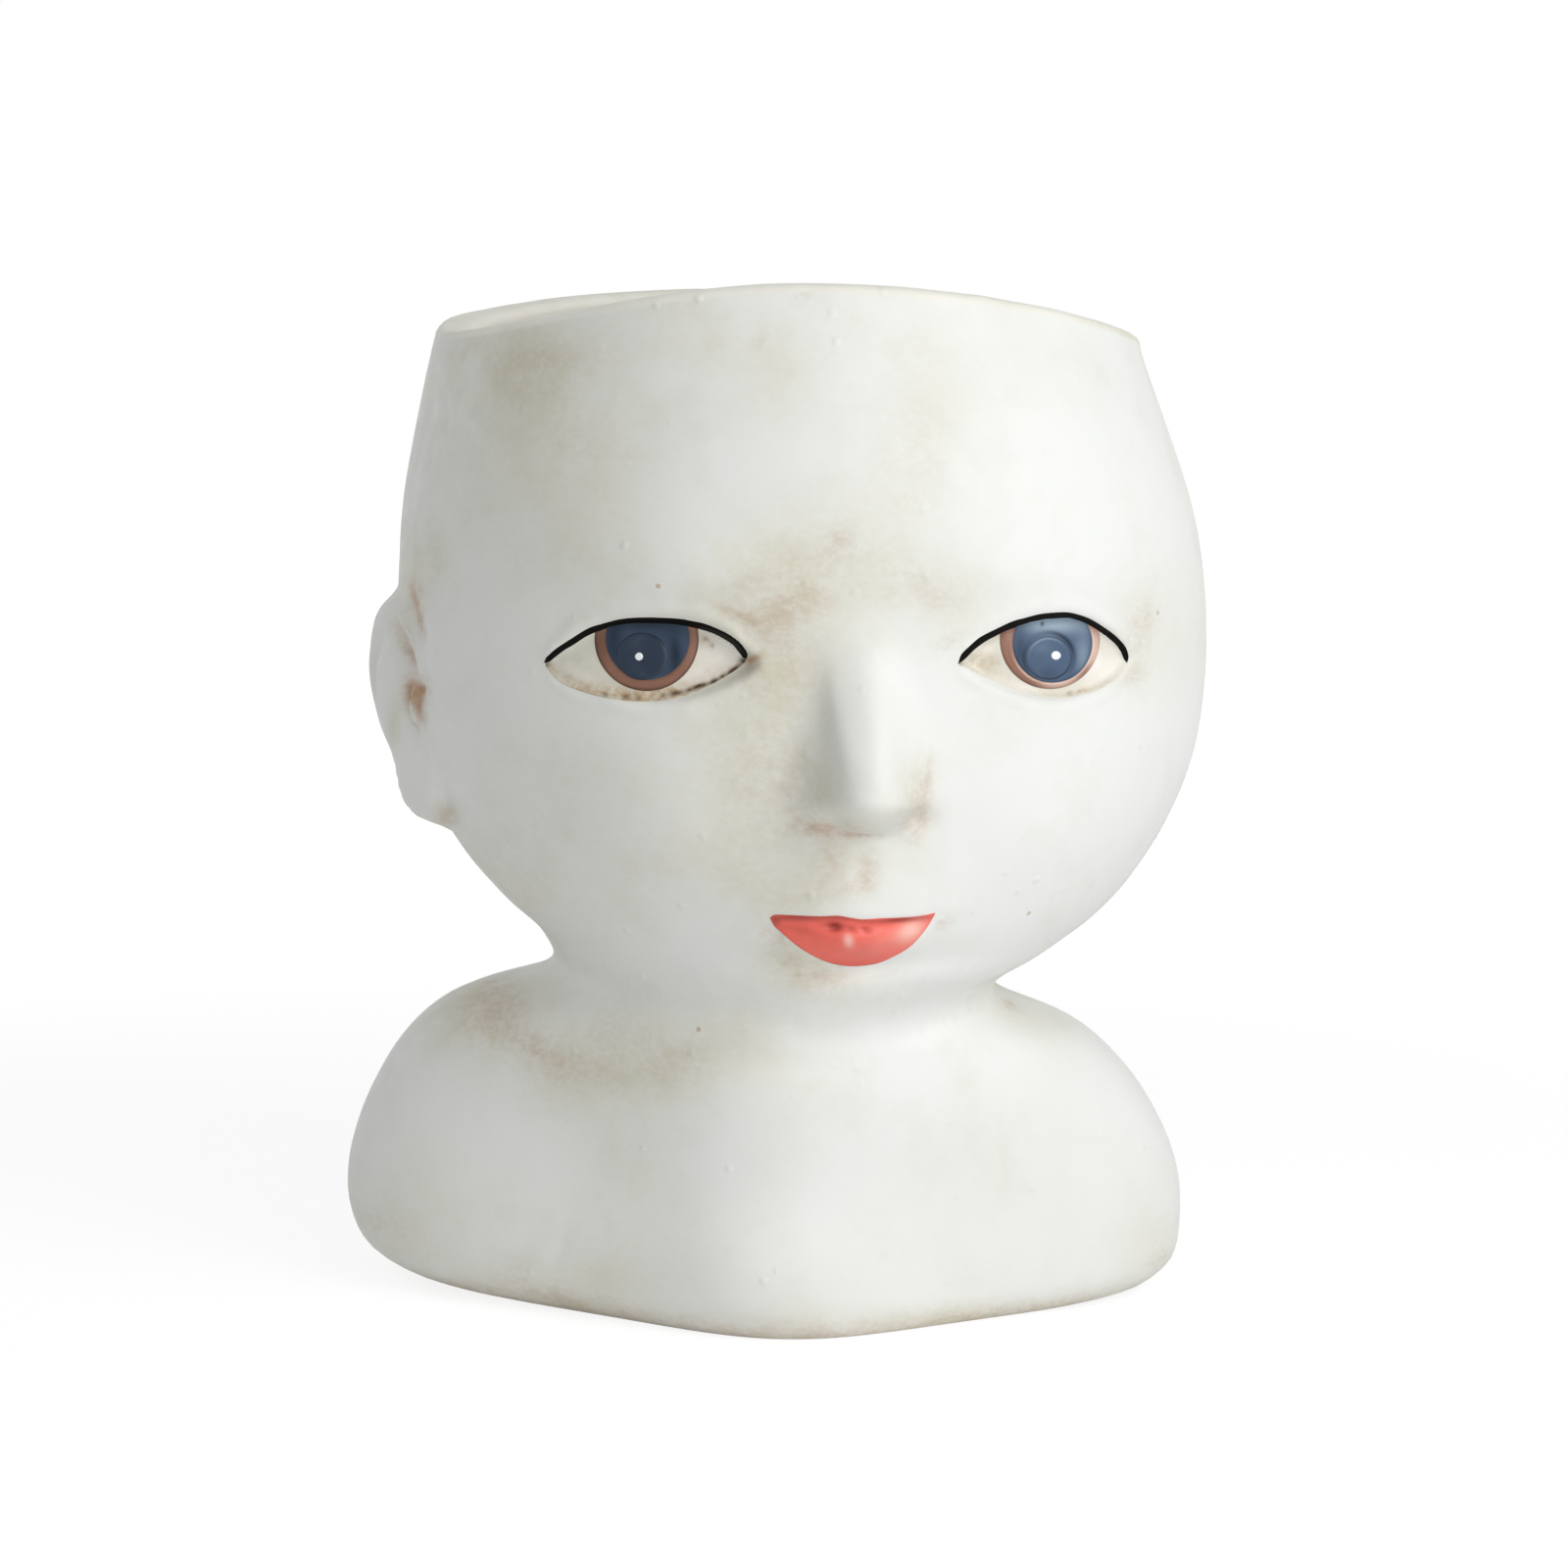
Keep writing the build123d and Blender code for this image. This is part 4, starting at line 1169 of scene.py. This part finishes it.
class PLANTER_OT_plug(bpy.types.Operator):
    """Finish the rubber drain plug"""

    bl_idname = "planter.plug"
    bl_label = "Drain plug"

    def execute(self, context):
        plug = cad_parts["drain_plug"]
        plug.data.materials.clear()
        plug.data.materials.append(coat_material("plug rubber", finish_of().rubber, 0.6, 0.4))
        return {"FINISHED"}


def lamp(name, place, aim, side, power):
    """A square soft lamp."""
    light = bpy.data.lights.new(name, "AREA")
    light.shape = "SQUARE"
    light.size = side
    light.energy = power
    holder = bpy.data.objects.new(name, light)
    holder.location = place
    holder.rotation_euler = (Vector(aim) - Vector(place)).to_track_quat("-Z", "Y").to_euler()
    bpy.context.scene.collection.objects.link(holder)


class PLANTER_OT_stage(bpy.types.Operator):
    """Lay the pale floor and set the lamps, the background and the camera"""

    bl_idname = "planter.stage"
    bl_label = "Floor, light and camera"

    def execute(self, context):
        stage = stage_of()
        shape = bmesh.new()
        bmesh.ops.create_grid(shape, x_segments=1, y_segments=1, size=6)
        mesh = bpy.data.meshes.new("floor")
        shape.to_mesh(mesh)
        shape.free()
        floor = bpy.data.objects.new("floor", mesh)
        floor.location.z = -0.0002
        context.scene.collection.objects.link(floor)
        m = new_material("pale floor")
        m.tree.nodes.clear()
        matte = m.add("ShaderNodeBsdfDiffuse", {"Color": (0.93, 0.93, 0.93, 1)})
        glow = m.add("ShaderNodeEmission", {"Color": (1, 1, 1, 1), "Strength": 1.12})
        away = m.add("ShaderNodeVectorMath", {0: m.place()}, operation="LENGTH").outputs["Value"]
        glow_share = m.sum("MULTIPLY", m.seen(), m.band(away, 0.25, 1.0, 0.75, 1.0))
        m.blend(glow_share, matte, glow, "ShaderNodeOutputMaterial")
        floor.data.materials.append(m.owner)

        world = context.scene.world or bpy.data.worlds.new("studio")
        context.scene.world = world
        m = Nodes(world)
        m.tree.nodes.clear()
        soft = m.add("ShaderNodeBackground", {"Color": (0.97, 0.99, 1.0, 1), "Strength": stage.fill})
        white = m.add("ShaderNodeBackground", {"Color": (1, 1, 1, 1), "Strength": 1.0})
        m.blend(m.seen(), soft, white, "ShaderNodeOutputWorld")

        lamp("key lamp", (0.85, -0.75, 0.85), (0, 0, 0.13), 0.7, stage.key_power)
        lamp("low lamp", (0.35, -1.1, 0.12), (0, 0, 0.06), 0.8, stage.low_power)
        lamp("side lamp", (-0.95, 0.52, 0.62), (0, 0, 0.13), 0.6, stage.side_power)

        eye, right, up, forward = sight_axes()
        camera = bpy.data.cameras.new("camera")
        camera.sensor_width = 36
        camera.lens = stage.lens
        holder = bpy.data.objects.new("camera", camera)
        context.scene.collection.objects.link(holder)
        rows = [(right[i], up[i], -forward[i], eye[i]) for i in range(3)]
        holder.matrix_world = Matrix(rows + [(0, 0, 0, 1)])
        context.scene.camera = holder
        context.scene.view_settings.view_transform = "Standard"
        return {"FINISHED"}


class PLANTER_PT_sidebar(bpy.types.Panel):
    bl_label = "Head planter"
    bl_space_type = "VIEW_3D"
    bl_region_type = "UI"
    bl_category = "Head planter"

    def draw(self, context):
        for operator in OPERATORS:
            self.layout.operator(operator.bl_idname)
        for group in (sizes(), finish_of(), stage_of()):
            box = self.layout.box()
            for name in group.__annotations__:
                box.prop(group, name)


OPERATORS = (PLANTER_OT_stage, PLANTER_OT_casting, PLANTER_OT_eyes, PLANTER_OT_lips, PLANTER_OT_plug)
CLASSES = (PlanterSizes, PlanterFinish, PlanterStage) + OPERATORS + (PLANTER_PT_sidebar,)


def register():
    for part in CLASSES:
        bpy.utils.register_class(part)
    bpy.types.Scene.planter_sizes = bpy.props.PointerProperty(type=PlanterSizes)
    bpy.types.Scene.planter_finish = bpy.props.PointerProperty(type=PlanterFinish)
    bpy.types.Scene.planter_stage = bpy.props.PointerProperty(type=PlanterStage)


def unregister():
    del bpy.types.Scene.planter_stage
    del bpy.types.Scene.planter_finish
    del bpy.types.Scene.planter_sizes
    for part in reversed(CLASSES):
        bpy.utils.unregister_class(part)


def main():
    register()
    bpy.ops.planter.stage()
    bpy.ops.planter.casting()
    bpy.ops.planter.eyes()
    bpy.ops.planter.lips()
    bpy.ops.planter.plug()


if __name__ == "__main__":
    main()
